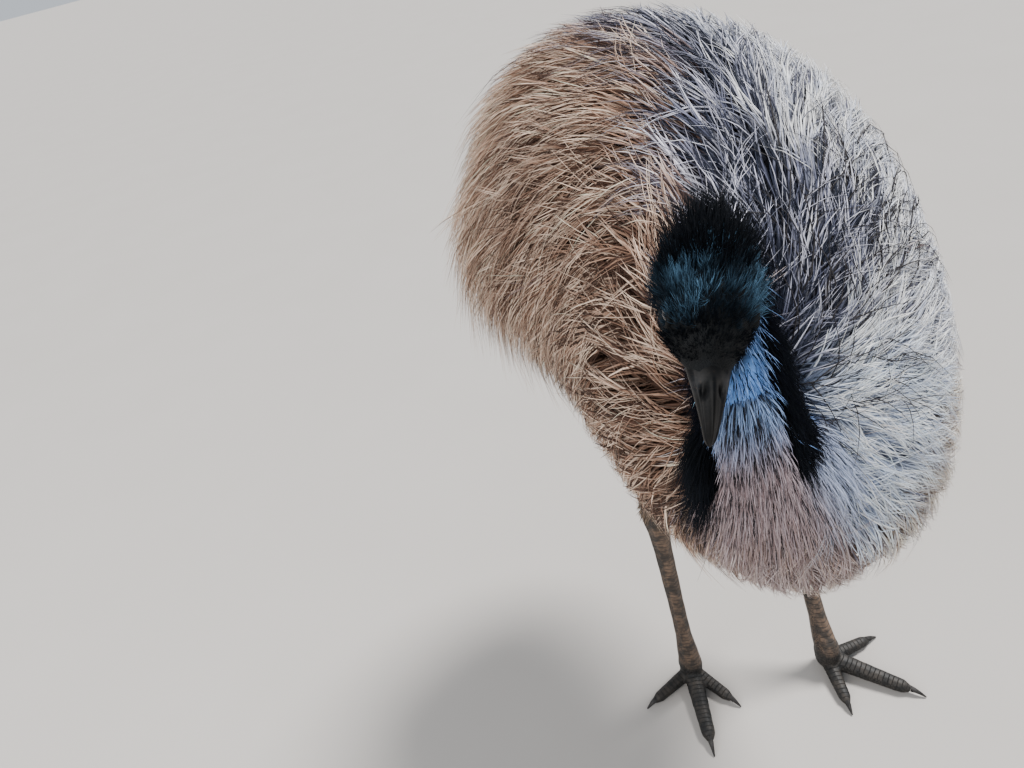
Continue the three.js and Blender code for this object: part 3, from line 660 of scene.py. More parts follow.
class Tree:
    """Short ways to place and join nodes in one material or group."""

    def __init__(self, tree: bpy.types.NodeTree) -> None:
        """Takes the tree that the nodes go into."""
        self.tree = tree

    def node(self, kind: str, **settings: object) -> bpy.types.Node:
        """Adds a node and sets its properties and, for names in inputs, its sockets."""
        made = self.tree.nodes.new(kind)
        for key, value in settings.items():
            if key == "inputs":
                for socket, given in value.items():
                    made.inputs[socket].default_value = given
            else:
                setattr(made, key, value)
        return made

    def join(self, source: bpy.types.NodeSocket, target: bpy.types.NodeSocket) -> None:
        """Links two sockets."""
        self.tree.links.new(source, target)

    def math(self, operation: str, first: object, second: object = 0.0) -> bpy.types.NodeSocket:
        """Adds a Math node for two sockets or numbers and returns its result."""
        made = self.node("ShaderNodeMath", operation=operation)
        for socket, given in zip(made.inputs, (first, second)):
            if isinstance(given, bpy.types.NodeSocket):
                self.join(given, socket)
            else:
                socket.default_value = given
        return made.outputs[0]

    def mix(self, share: object, first: object, second: object, blend: str = "MIX") -> bpy.types.NodeSocket:
        """Adds a colour Mix node for sockets, numbers or colours and returns its result."""
        made = self.node("ShaderNodeMix", data_type="RGBA", blend_type=blend)
        for socket, given in zip((made.inputs[0], made.inputs[6], made.inputs[7]), (share, first, second)):
            if isinstance(given, bpy.types.NodeSocket):
                self.join(given, socket)
            else:
                socket.default_value = given if isinstance(given, float) else (*given, 1)
        return made.outputs[2]

    def ramp(self, value: bpy.types.NodeSocket, low: float, high: float) -> bpy.types.NodeSocket:
        """Adds a Map Range node from low..high to 0..1 and returns its result."""
        made = self.node("ShaderNodeMapRange", interpolation_type="SMOOTHSTEP",
                         inputs={"From Min": low, "From Max": high})
        self.join(value, made.inputs["Value"])
        return made.outputs[0]

    def attribute(self, name: str) -> bpy.types.Node:
        """Adds an Attribute node."""
        return self.node("ShaderNodeAttribute", attribute_name=name)

    def coordinates(self) -> bpy.types.NodeSocket:
        """Object coordinates of the piece."""
        return self.node("ShaderNodeTexCoord").outputs["Object"]


def new_material(name: str, roughness: float,
                 specular: float) -> tuple[bpy.types.Material, Tree, bpy.types.Node]:
    """Makes a material with one Principled shader.

    Args:
        name: its name.
        roughness: roughness of the shader.
        specular: specular level of the shader.

    Returns:
        The material, its tree and its shader.
    """
    material = bpy.data.materials.new(name)
    material.use_nodes = True
    tree = Tree(material.node_tree)
    shader = material.node_tree.nodes["Principled BSDF"]
    shader.inputs["Roughness"].default_value = roughness
    shader.inputs["Specular IOR Level"].default_value = specular
    return material, tree, shader


def streak_group() -> bpy.types.NodeTree:
    """Group that gives a lengthwise streak mask and height for strands, from their own attributes."""
    group = bpy.data.node_groups.new("lengthwise streaks", "ShaderNodeTree")
    group.interface.new_socket("Fineness", in_out="INPUT", socket_type="NodeSocketFloat")
    group.interface.new_socket("Mask", in_out="OUTPUT", socket_type="NodeSocketFloat")
    tree = Tree(group)
    given = tree.node("NodeGroupInput")
    result = tree.node("NodeGroupOutput")
    across = tree.attribute("across").outputs["Fac"]
    own = tree.attribute("own").outputs["Fac"]
    along = tree.attribute("along").outputs["Fac"]
    place = tree.node("ShaderNodeCombineXYZ")
    tree.join(tree.math("MULTIPLY", across, given.outputs["Fineness"]), place.inputs[0])
    tree.join(tree.math("MULTIPLY", own, 91.0), place.inputs[1])
    tree.join(tree.math("MULTIPLY", along, 2.2), place.inputs[2])
    noise = tree.node("ShaderNodeTexNoise", inputs={"Scale": 1.0, "Detail": 3.0, "Roughness": 0.6})
    tree.join(place.outputs[0], noise.inputs["Vector"])
    tree.join(tree.ramp(noise.outputs["Fac"], 0.34, 0.66), result.inputs["Mask"])
    return group


@dataclass(frozen=True)
class PlumeFinish:
    """Finish of feathers and hair, whose colour each strand carries itself."""

    name: str
    roughness: float
    specular: float
    fineness: float
    dark: float
    light: float

    def build(self, streaks: bpy.types.NodeTree) -> bpy.types.Material:
        """Makes the material, with streaks between dark and light times the strand's colour."""
        material, tree, shader = new_material(self.name, self.roughness, self.specular)
        group = tree.node("ShaderNodeGroup", node_tree=streaks)
        group.inputs["Fineness"].default_value = self.fineness
        colour = tree.attribute("coat_colour").outputs["Color"]
        shade = tree.mix(group.outputs["Mask"], (self.dark,) * 3, (self.light,) * 3)
        tree.join(tree.mix(1.0, colour, shade, "MULTIPLY"), shader.inputs["Base Color"])
        height = tree.node("ShaderNodeBump", inputs={"Strength": 0.35, "Distance": 0.0006})
        tree.join(group.outputs["Mask"], height.inputs["Height"])
        tree.join(height.outputs["Normal"], shader.inputs["Normal"])
        return material


@dataclass(frozen=True)
class SkinFinish:
    """Finish of the skin, whose markings it carries itself, with fine wrinkles."""

    name: str
    roughness: float
    wrinkle: float
    depth: float

    def build(self) -> bpy.types.Material:
        """Makes the material."""
        material, tree, shader = new_material(self.name, self.roughness, 0.12)
        place = tree.coordinates()
        cells = tree.node("ShaderNodeTexVoronoi", feature="DISTANCE_TO_EDGE", inputs={"Scale": self.wrinkle})
        tree.join(place, cells.inputs["Vector"])
        mottle = tree.node("ShaderNodeTexNoise", inputs={"Scale": 90.0, "Detail": 5.0})
        tree.join(place, mottle.inputs["Vector"])
        colour = tree.attribute("coat_colour").outputs["Color"]
        shade = tree.mix(tree.ramp(mottle.outputs["Fac"], 0.3, 0.7), (0.62,) * 3, (1.25,) * 3)
        tree.join(tree.mix(1.0, colour, shade, "MULTIPLY"), shader.inputs["Base Color"])
        height = tree.node("ShaderNodeBump", inputs={"Strength": 0.5, "Distance": self.depth})
        tree.join(tree.ramp(cells.outputs["Distance"], 0.0, 0.25), height.inputs["Height"])
        tree.join(height.outputs["Normal"], shader.inputs["Normal"])
        return material


@dataclass(frozen=True)
class HornFinish:
    """Finish of bill and claws: worn horn with growth lines and patches."""

    name: str
    dark: tuple[float, float, float]
    pale: tuple[float, float, float]
    patch: tuple[float, float, float]
    roughness: float

    def build(self) -> bpy.types.Material:
        """Makes the material; the attribute coat_colour multiplies it where the piece carries one."""
        material, tree, shader = new_material(self.name, self.roughness, 0.14)
        place = tree.coordinates()
        broad = tree.node("ShaderNodeTexNoise", inputs={"Scale": 70.0, "Detail": 4.0, "Roughness": 0.65})
        fine = tree.node("ShaderNodeTexNoise", inputs={"Scale": 420.0, "Detail": 6.0, "Roughness": 0.7})
        tree.join(place, broad.inputs["Vector"])
        tree.join(place, fine.inputs["Vector"])
        base = tree.mix(tree.ramp(broad.outputs["Fac"], 0.38, 0.62), self.dark, self.pale)
        worn = tree.mix(tree.ramp(fine.outputs["Fac"], 0.56, 0.72), base, self.patch)
        tree.join(tree.mix(1.0, worn, tree.attribute("coat_colour").outputs["Color"], "MULTIPLY"),
                  shader.inputs["Base Color"])
        tree.join(tree.math("ADD", tree.math("MULTIPLY", fine.outputs["Fac"], 0.35), self.roughness - 0.15),
                  shader.inputs["Roughness"])
        height = tree.node("ShaderNodeBump", inputs={"Strength": 0.4, "Distance": 0.0005})
        tree.join(fine.outputs["Fac"], height.inputs["Height"])
        tree.join(height.outputs["Normal"], shader.inputs["Normal"])
        return material


@dataclass(frozen=True)
class ScaleFinish:
    """Finish of the bare legs: broad scutes in front, small scales behind, pale mottling over them and a
    darker tone in the creases between them.
    """

    name: str
    crease: tuple[float, float, float]
    scale: tuple[float, float, float]
    pale: tuple[float, float, float]
    roughness: float

    def build(self) -> bpy.types.Material:
        """Makes the material from the attributes scute (bands), front (where scutes lie) and coat_colour."""
        material, tree, shader = new_material(self.name, self.roughness, 0.4)
        place = tree.coordinates()
        cells = tree.node("ShaderNodeTexVoronoi", feature="DISTANCE_TO_EDGE", inputs={"Scale": 230.0})
        patches = tree.node("ShaderNodeTexVoronoi", feature="F1", inputs={"Scale": 230.0})
        mottle = tree.node("ShaderNodeTexNoise", inputs={"Scale": 55.0, "Detail": 5.0, "Roughness": 0.7})
        grit = tree.node("ShaderNodeTexNoise", inputs={"Scale": 900.0, "Detail": 3.0})
        for texture in (cells, patches, mottle, grit):
            tree.join(place, texture.inputs["Vector"])
        small = tree.ramp(cells.outputs["Distance"], 0.0, 0.22)
        wobble = tree.math("MULTIPLY", mottle.outputs["Fac"], 0.5)
        band = tree.math("FRACT", tree.math("ADD", tree.attribute("scute").outputs["Fac"], wobble))
        far_edge = tree.ramp(tree.math("SUBTRACT", 1.0, band), 0.0, 0.1)
        edge = tree.math("MULTIPLY", tree.ramp(band, 0.0, 0.16), far_edge)
        front = tree.attribute("front").outputs["Fac"]
        raised = tree.node("ShaderNodeMix", data_type="FLOAT")
        tree.join(front, raised.inputs[0])
        tree.join(small, raised.inputs[2])
        tree.join(edge, raised.inputs[3])
        height_value = raised.outputs[0]
        spotted = tree.mix(tree.ramp(mottle.outputs["Fac"], 0.4, 0.62), self.scale, self.pale)
        varied = tree.mix(tree.math("MULTIPLY", patches.outputs["Color"], 0.45), spotted, self.scale)
        creased = tree.mix(tree.ramp(height_value, 0.0, 0.7), self.crease, varied)
        tinted = tree.mix(1.0, creased, tree.attribute("coat_colour").outputs["Color"], "MULTIPLY")
        tree.join(tinted, shader.inputs["Base Color"])
        height = tree.node("ShaderNodeBump", inputs={"Strength": 0.8, "Distance": 0.0012})
        total = tree.math("ADD", height_value, tree.math("MULTIPLY", grit.outputs["Fac"], 0.15))
        tree.join(total, height.inputs["Height"])
        tree.join(height.outputs["Normal"], shader.inputs["Normal"])
        return material


# Colours of the coat, linear

@dataclass(frozen=True)
class CoatColours:
    """Dark, mid and pale strand colours of each region of the plumage, some with painted light in them."""

    # flank: own grey-brown, its warm tan partly painted warm bounce light on the side turned from the key
    flank: tuple = ((0.060, 0.028, 0.018), (0.40, 0.235, 0.16), (0.92, 0.69, 0.54))
    back: tuple = ((0.008, 0.012, 0.026), (0.15, 0.16, 0.24), (0.74, 0.74, 0.86))
    # left: pale bluish white that is painted sunlight and sky light on the lit side
    left: tuple = ((0.10, 0.10, 0.14), (0.70, 0.74, 0.86), (1.0, 1.0, 1.0))
    # breast: own pale cream with a painted blue cast of sky light
    breast: tuple = ((0.42, 0.50, 0.70), (0.74, 0.84, 1.0), (0.92, 0.97, 1.0))
    rump: tuple = ((0.24, 0.125, 0.075), (0.66, 0.44, 0.32), (0.98, 0.75, 0.58))
    belly: tuple = ((0.10, 0.058, 0.033), (0.50, 0.36, 0.25), (0.95, 0.82, 0.66))
    fan: tuple = ((0.22, 0.16, 0.16), (0.46, 0.37, 0.37), (0.72, 0.64, 0.66))
    ruff: tuple = ((0.003, 0.004, 0.004), (0.020, 0.015, 0.012), (0.20, 0.13, 0.09))

    def table(self) -> np.ndarray:
        """Returns (zone, tone, rgb)."""
        zones = (self.flank, self.back, self.left, self.breast, self.rump, self.belly, self.fan, self.ruff)
        return np.array(zones, float)


COATS = CoatColours()
BREAST, FAN = 3, 6

# Share of dark and of pale strands in each region, in the order of the colour table
# On the left side the few dark and many pale strands are partly painted sunlight.
DARK_SHARE = (0.32, 0.42, 0.11, 0.03, 0.10, 0.24, 0.05, 0.50)
PALE_SHARE = (0.32, 0.22, 0.50, 0.40, 0.36, 0.38, 0.30, 0.12)


def zone_weights(share: np.ndarray, turn: np.ndarray) -> np.ndarray:
    """How much of each region's colours a place on the body takes.

    Args:
        share: place along the body, 0 at the breast.
        turn: degrees from the parting, positive towards the bird's left.

    Returns:
        Weights for each region in the order of the colour table, one row a place.
    """
    pale_from = 2 + 27 * bump(share, 0.15, 0.11) + 4 * smoothstep(share, 0.4, 0.6)
    # left marks the lit side, whose pale colours are painted sunlight and sky light; right marks the tan
    # flank, partly painted warm bounce light
    left = smoothstep(turn, pale_from - 5, pale_from + 9)
    tan_from = 20 - 13 * smoothstep(share, 0.28, 0.46)
    right = smoothstep(-turn, tan_from - 7, tan_from + 14)
    breast = (1 - smoothstep(share, 0.05, 0.105)) * smoothstep(turn, -30, 0) * (1 - smoothstep(turn, 60, 95))
    rump = smoothstep(share, 0.56, 0.82) * (0.35 + 0.65 * right)
    hem = 18 * (1 - smoothstep(share, 0.1, 0.3)) * smoothstep(turn, 0, 60)
    belly = smoothstep(np.abs(turn) + hem, 96, 122) * (1 - 0.5 * rump)
    back = (1 - left) * (1 - right)
    weights = np.stack([
        right * (1 - rump),
        back * (1 - 0.6 * rump),
        left * (1 - 0.35 * rump),
        2.5 * breast,
        rump,
        2.0 * belly,
        3.0 * (1 - smoothstep(share, 0.05, 0.095)) * smoothstep(-turn, 8, 30),
        3.2 * bump(share, 0.115, 0.026) * bump(turn, -58, 13),
    ], -1)
    return np.maximum(weights, 1e-3)


# Coat of the body

@dataclass(frozen=True)
class PlumeLayer:
    """One layer of body plumes: how many, how they clump, and the sizes of one plume."""

    name: str
    count: int
    clump: int
    half: float
    thick: float
    lengths: tuple[float, float]
    root_level: float
    tip_levels: tuple[float, float]
    stray: float
    contrast: float
    seed: int
    curl: float = 0.11


class Roots:
    """Roots of one layer's clumps, with what follows from their places."""

    def __init__(self, share: np.ndarray, turn: np.ndarray, each: np.ndarray) -> None:
        """Works out what depends on the places.

        Args:
            share: place of each clump along the body.
            turn: its turn from the parting in degrees.
            each: the clump of each strand.
        """
        self.share = share
        self.turn = turn
        self.each = each
        self.angle = outline_angle(share, turn)
        self.far = np.abs(turn)
        self.front = 1 - smoothstep(share, 0.04, 0.2)
        self.rump = smoothstep(share, 0.62, 0.9)


@dataclass
class BodyPlumage:
    """Plumes of the body and the rump, rooted in the skin and parted along the back."""

    under: PlumeLayer = PlumeLayer(
        "under", count=3600, clump=1, half=6.0, thick=2.0, lengths=(75, 115), root_level=0.0,
        tip_levels=(0.5, 0.7), stray=6, contrast=0.0, seed=7)
    locks: PlumeLayer = PlumeLayer(
        "locks", count=15200, clump=4, half=1.65, thick=1.2, lengths=(62, 118), root_level=0.4,
        tip_levels=(0.84, 1.02), stray=15, contrast=0.6, seed=8, curl=0.22)
    wisps: PlumeLayer = PlumeLayer(
        "wisps", count=19200, clump=4, half=0.72, thick=0.85, lengths=(60, 135), root_level=0.45,
        tip_levels=(0.9, 1.08), stray=21, contrast=1.0, seed=9, curl=0.32)
    wires: PlumeLayer = PlumeLayer(
        "wires", count=3000, clump=1, half=1.0, thick=0.8, lengths=(90, 150), root_level=0.8,
        tip_levels=(1.04, 1.12), stray=28, contrast=1.0, seed=10, curl=0.6)
    steps: int = 5
    clump_spread: float = 6.0
    neck_foot: tuple[float, float, float] = (-150, -292, 838)
    fan_reach: tuple[float, float] = (80, 270)
    finishes: dict = field(default_factory=dict)

    UNWRAP_AT = (0.01, 0.02)
    UNWRAP_SIZE = (0.62, 0.96)
    WIRE_COLOUR = (0.03, 0.027, 0.03)

    def headings(self, share: np.ndarray, turn: np.ndarray, stray: np.ndarray) -> np.ndarray:
        """Direction in which each plume lies: off the neck's foot near it, else back and down.

        Args:
            share: root's place along the body.
            turn: root's turn from the parting in degrees.
            stray: how far each strays from the common flow, in degrees.

        Returns:
            Unit directions in the bird's own frame.
        """
        angle = outline_angle(share, turn)
        by_share, by_angle = tangents(share, angle)
        along = unit(by_share)
        down = unit(by_angle) * np.sign(turn)[:, None]
        far = np.abs(turn)
        flank, rump = smoothstep(far, 0, 95), smoothstep(share, 0.5, 0.92)
        lean = np.radians(68 - 42 * flank + 10 * rump)
        flow = down * np.cos(lean)[:, None] + along * np.sin(lean)[:, None]
        low = smoothstep(far, 95, 150)[:, None]
        flow = flow * (1 - low) + (0.75 * along + (0, 0, -0.8)) * low
        rear = smoothstep(share, 0.68, 0.86)[:, None]
        flow = flow * (1 - rear) + (0.35 * along + (0, 0, -1.0)) * rear
        place = section_point(OUTLINE, share, angle)
        off = place - np.array(self.neck_foot)
        near = 1 - smoothstep(np.linalg.norm(off, axis=1), *self.fan_reach)
        near = np.maximum(near, 1 - smoothstep(share, 0.07, 0.2))
        off = unit(off) + (0, 0.1, 0)
        heading = unit(flow) * (1 - near)[:, None] + off * near[:, None]
        normal = self.outward_at(share, angle)
        heading = unit(heading - (heading * normal).sum(-1)[:, None] * normal)
        sideways = np.cross(normal, heading)
        turned = np.radians(stray)[:, None]
        return heading * np.cos(turned) + sideways * np.sin(turned)

    @staticmethod
    def outward_at(share: np.ndarray, angle: np.ndarray) -> np.ndarray:
        """Outward normals of the coat, taken from inside the breast close to its foremost point."""
        normal = unit(np.cross(*tangents(share, angle)))
        ray = unit(section_point(OUTLINE, share, angle) - BREAST_MIDDLE)
        normal = normal * np.sign((normal * ray).sum(-1))[:, None]
        near = (1 - smoothstep(share, 0.02, 0.06))[:, None]
        return unit(normal * (1 - near) + ray * near)

    def scattered(self, rng: np.random.Generator, count: int) -> tuple[np.ndarray, np.ndarray]:
        """Places over the body, even by area, but more on the breast and behind and fewer below."""
        tries = 9 * count
        last_share, last_turn = 0.985, 176
        share = rng.random(tries) * last_share
        turn = (rng.random(tries) * 2 - 1) * last_turn
        by_share, by_angle = tangents(share, outline_angle(share, turn))
        area = np.linalg.norm(np.cross(by_share, by_angle), axis=1)
        more = 1 + 1.5 * (1 - smoothstep(share, 0.05, 0.24)) - 0.3 * smoothstep(share, 0.55, 0.75)
        behind = smoothstep(share, 0.58, 0.75)
        more = more + (0.5 + 1.1 * (1 - smoothstep(np.abs(turn), 25, 60))) * behind
        chance = area * more * (1 - 0.45 * smoothstep(np.abs(turn), 125, 165) * (1 - behind))
        keep = rng.random(tries) < chance / np.percentile(chance, 99)
        keep &= ~self.in_neck(share, turn)
        return share[keep][:count], turn[keep][:count]

    @staticmethod
    def in_neck(share: np.ndarray, turn: np.ndarray) -> np.ndarray:
        """Tells which places on the body lie within the foot of the neck."""
        points = coat_point(share, outline_angle(share, turn), np.full(len(share), 0.8))
        inside = np.zeros(len(share), bool)
        for t in np.linspace(0, 0.6, 16):
            centre = curve_points(NECK_LINE, np.array([t]))
            inside |= np.linalg.norm(points - centre, axis=1) < 0.85 * station(NECK_STATIONS, t, 1)
        return inside

    def strands(self, layer: PlumeLayer) -> Strands:
        """Makes the strands of one layer.

        Args:
            layer: its sizes.

        Returns:
            The strands, with paths, colours and places on the unwrapped skin.
        """
        rng = np.random.default_rng(layer.seed)
        share, turn = self.scattered(rng, strand_count(layer.count) // layer.clump)
        roots = Roots(share, turn, np.repeat(np.arange(len(share)), layer.clump))
        each, size = roots.each, len(roots.each)
        length = rng.uniform(*layer.lengths, len(share))[each] * rng.uniform(0.85, 1.1, size)
        length *= ((1 - 0.42 * roots.front) * (1 + 0.35 * roots.rump))[each]
        heading = self.headings(share, turn, layer.stray * rng.standard_normal(len(share)))
        points, outward = self._paths(rng, layer, roots, length, heading)
        root, middle, end = self.coloured(rng, layer, share, turn, each)
        fine = (1 - 0.55 * roots.front + 0.25 * smoothstep(share, 0.6, 0.75))[each]
        half = layer.half * rng.uniform(0.65, 1.25, size) * fine
        return Strands(points, outward, half, np.full(size, layer.thick) * fine, root, middle, end,
                       self.spots(share, turn)[each], layer.seed)

    def _paths(self, rng: np.random.Generator, layer: PlumeLayer, roots: Roots, length: np.ndarray,
               heading: np.ndarray) -> tuple[np.ndarray, np.ndarray]:
        """Paths of the strands over the coat.

        Args:
            rng: seeded random numbers.
            layer: the layer's sizes.
            roots: the roots of its clumps.
            length: length of each strand.
            heading: direction of each clump.

        Returns:
            Points and outward directions, one row a strand.
        """
        share, angle, each = roots.share, roots.angle, roots.each
        by_share, by_angle = (v[each][:, None] for v in steer(share, angle, heading))
        along_share, along_angle = (v[each][:, None] for v in self._per_millimetre(share, angle))
        spread = 0.0 if layer.clump == 1 else self.clump_spread
        dy = spread * rng.standard_normal((len(each), 1))
        dx = spread * rng.standard_normal((len(each), 1))
        t = np.linspace(0, 1, self.steps)[None, :]
        far_along = length[:, None] * t
        gather = 1 - 0.75 * t
        bend = self._curls(rng, layer, roots)[:, None] * length[:, None] * t * t
        level = self._levels(rng, layer, roots, t)
        at = share[each][:, None] + by_share * far_along + (dy * gather + 0.3 * bend) * along_share
        slowed, slow_over = 0.9, 0.03
        at = np.where(at > slowed, slowed + slow_over * np.tanh((at - slowed) / slow_over), at)
        swing = angle[each][:, None] + by_angle * far_along + (dx * gather + bend) * along_angle
        points = coat_point(np.maximum(at, 0.01), swing, level)
        outward = unit(coat_point(np.maximum(at, 0.01), swing, level + 0.2) - points)
        ahead = heading[each]
        aside = np.cross(self.outward_at(share, angle)[each], ahead)
        place = section_point(OUTLINE, share, angle)[each]
        rump_middle = np.array((station(CORE, RUMP_Y, 1), RUMP_Y, station(CORE, RUMP_Y, 2)))
        forward, sideways = dy * gather, dx * gather + bend
        for chosen, centre in ((share[each] < 0.24, BREAST_MIDDLE), (share[each] > 0.78, rump_middle)):
            some = np.flatnonzero(chosen)
            path = forward[some, :, None] * ahead[some, None] + sideways[some, :, None] * aside[some, None]
            path = path + place[some, None] + ahead[some, None] * far_along[some, :, None]
            points[some] = onto_level(path, level[some], centre)
            outward[some] = unit(points[some] - centre)
        points[..., 2] -= (self._droop(roots) * length / 150)[:, None] * t**1.8
        return points, outward

    @staticmethod
    def _curls(rng: np.random.Generator, layer: PlumeLayer, roots: Roots) -> np.ndarray:
        """How much each strand curls to its side, mostly shared in a clump, with a sag down the flanks."""
        sag = 0.2 * np.sign(roots.turn) * smoothstep(roots.far, 14, 45)
        sag = sag * (1 - smoothstep(roots.far, 115, 150)) * (1 - roots.front)
        shared = layer.curl * rng.standard_normal(len(roots.share))[roots.each]
        return sag[roots.each] + shared + 0.35 * layer.curl * rng.standard_normal(len(roots.each))

    @staticmethod
    def _levels(rng: np.random.Generator, layer: PlumeLayer, roots: Roots, t: np.ndarray) -> np.ndarray:
        """Level of each strand between core and outline along its path, t from root to tip."""
        share, turn, far, each = roots.share, roots.turn, roots.far, roots.each
        low = smoothstep(far, 105, 165)
        tip = rng.uniform(*layer.tip_levels, len(share))[each] + 0.03 * rng.standard_normal(len(each))
        skirt = (1 - smoothstep(share, 0.1, 0.17)) * smoothstep(-turn, 56, 76)
        bustle = smoothstep(share, 0.4, 0.56) * bump(turn, -82, 34) * (1 - smoothstep(share, 0.8, 0.95))
        tip = tip + (0.22 * bustle - 0.22 * low * (1 - roots.rump) - 0.05 * roots.front - 0.3 * skirt)[each]
        start = layer.root_level - 0.1
        rising = (0.5 + 0.22 * smoothstep(far, 0, 95))[each][:, None]
        return start + (tip[:, None] - start) * t**rising

    @staticmethod
    def _droop(roots: Roots) -> np.ndarray:
        """How far each strand's tip hangs down for 150 mm of its length."""
        hang = smoothstep(roots.share, 0.46, 0.72)
        sides = 20 * smoothstep(roots.far, 20, 95) + 88 * hang * smoothstep(roots.far, 15, 75)
        return (sides + 14 * roots.rump)[roots.each]

    def spots(self, share: np.ndarray, turn: np.ndarray) -> np.ndarray:
        """Places of the roots on the unwrapped skin."""
        across = self.UNWRAP_AT[0] + self.UNWRAP_SIZE[0] * (turn + 180) / 360
        return np.stack([across, self.UNWRAP_AT[1] + self.UNWRAP_SIZE[1] * share], -1)

    def places(self, spots: np.ndarray) -> tuple[np.ndarray, np.ndarray]:
        """Share and turn of the roots from their places on the unwrapped skin."""
        turn = (spots[:, 0] - self.UNWRAP_AT[0]) / self.UNWRAP_SIZE[0] * 360 - 180
        return (spots[:, 1] - self.UNWRAP_AT[1]) / self.UNWRAP_SIZE[1], turn

    @staticmethod
    def _per_millimetre(share: np.ndarray, angle: np.ndarray) -> tuple[np.ndarray, np.ndarray]:
        """Change of share and of angle for one millimetre along each of them."""
        by_share, by_angle = tangents(share, angle)
        return tuple(1 / np.maximum(np.linalg.norm(v, axis=1), 60) for v in (by_share, by_angle))

    def coloured(self, rng: np.random.Generator, layer: PlumeLayer, share: np.ndarray, turn: np.ndarray,
                 each: np.ndarray) -> tuple[np.ndarray, np.ndarray, np.ndarray]:
        """Root, middle and tip colour of each plume from its region.

        Args:
            rng: seeded random numbers.
            layer: the layer, for its contrast.
            share: each clump's place along the body.
            turn: each clump's turn from the parting.
            each: the clump of each strand.

        Returns:
            Three arrays of colours.
        """
        table = COATS.table()
        weights = zone_weights(share, turn)
        zone = pick(rng, weights)
        blend = np.einsum("nz,ztc->ntc", weights / weights.sum(1, keepdims=True), table)
        own = (0.45 * table[zone] + 0.55 * blend)[each]
        size = len(each)
        if layer.contrast == 0:
            dark = own[:, 0]
            return dark * 0.6, tint(rng, dark * 1.1 + 0.1 * own[:, 1], 0.15), dark + 0.2 * own[:, 1]
        draw = np.where(rng.random(size) < 0.55, rng.random(len(share))[each], rng.random(size))
        dark_share = np.array(DARK_SHARE)[zone][each] * (0.5 + 0.6 * layer.contrast)
        pale_share = np.array(PALE_SHARE)[zone][each] * (0.6 + 0.5 * layer.contrast)
        is_dark = (draw < dark_share)[:, None]
        is_pale = (draw > 1 - pale_share)[:, None]
        body = np.where(is_dark, own[:, 0] * 1.25, np.where(is_pale, own[:, 2], own[:, 1]))
        lighter = 0.5 * (own[:, 1] + own[:, 2])
        tip = np.where(is_dark, own[:, 0] * 1.1, np.where(is_pale, own[:, 2], lighter))
        black_tip = ((rng.random(size) < 0.09) & (zone[each] != BREAST) & (zone[each] != FAN))[:, None]
        tip = np.where(black_tip, own[:, 0], tip)
        root = 0.6 * own[:, 0] + 0.25 * own[:, 1]
        return root, tint(rng, body, 0.16), tint(rng, tip, 0.18)

    def wiry(self) -> Strands:
        """Long dark curved strands that lie loose over the pale left side."""
        strands = self.strands(self.wires)
        share, turn = self.places(strands.spot)
        chosen = (turn > 2) & (turn < 52) & (share < 0.27) & (share > 0.05)
        strands.root[:] = strands.middle[:] = strands.tip[:] = self.WIRE_COLOUR
        return strands.part_of(chosen)

    def build(self) -> None:
        """Makes the under layer, the flat locks, the fine wisps over them and the loose wires."""
        finish_piece(self.strands(self.under).build("under_feathers", self.finishes["plume"]))
        finish_piece(self.wiry().build("wiry_feathers", self.finishes["plume"]))
        for layer in (self.locks, self.wisps):
            strands = self.strands(layer)
            share, turn = self.places(strands.spot)
            left = turn > 0
            rump = share > 0.66
            front = share < 0.2
            areas = {
                "rump": rump,
                "left_front": left & front,
                "left": ~rump & left & ~front,
                "right_front": ~left & front,
                "right": ~rump & ~left & ~front,
            }
            for area, chosen in areas.items():
                piece = strands.part_of(chosen).build(f"{layer.name}_{area}", self.finishes["plume"])
                finish_piece(piece)


# Skin

@dataclass
class Skin:
    """Skin of body, neck and thighs, under the plumes."""

    voxel: float = 0.0055
    inset: float = 5.0
    finish: SkinFinish = SkinFinish("feathered_skin", 0.8, 160.0, 0.0012)

    def build(self) -> None:
        """Makes the skin and its markings."""
        def body(q: np.ndarray, angle: np.ndarray) -> np.ndarray:
            """Point of the core under the plumes."""
            share = 0.5 - 0.5 * np.cos(math.pi * q)
            points = section_point(CORE, share, angle)
            opposite = section_point(CORE, share, angle + math.pi)
            centre = 0.5 * (points + opposite)
            return points + unit(centre - points) * self.inset

        meshes = [warped_sphere(64, 48, body), limb_mesh(NECK_LINE, NECK_STATIONS, 32, 32, inset=6)]
        for leg in LEGS:
            meshes.append(limb_mesh(thigh_line(leg), THIGH_STATIONS, 24, 24))
        mesh = fused("skin", meshes, self.voxel, 6)
        co = to_bird(coordinates(mesh))
        share = np.clip((co[:, 1] - CORE[0, 0]) / (CORE[-1, 0] - CORE[0, 0]), 0, 1)
        off = co - section_point(CORE, share, np.zeros(len(co)))
        off[:, 2] += station(CORE, co[:, 1], 4)
        sideways, upwards = off[:, 0] / station(CORE, co[:, 1], 3), off[:, 2] / station(CORE, co[:, 1], 4)
        turn = np.degrees(np.arctan2(sideways, upwards)) - station(PARTING, co[:, 1], 1)
        weights = zone_weights(share, turn)
        dark = (weights / weights.sum(1, keepdims=True)) @ COATS.table()[:, 0]
        paint(mesh, "coat_colour", 0.7 * dark + 0.01)
        mesh.materials.append(self.finish.build())
        piece = link("skin", mesh)
        finish_piece(piece, ("torso", "tail", "neck_lower", "thigh_left", "thigh_right"))


def thigh_line(leg: Leg) -> np.ndarray:
    """Middle line of a thigh."""
    root, hock = np.array(leg.root, float), np.array(leg.hock, float)
    middle = 0.5 * (root + hock) + (0, -14, 0)
    return np.array([root, middle, hock])


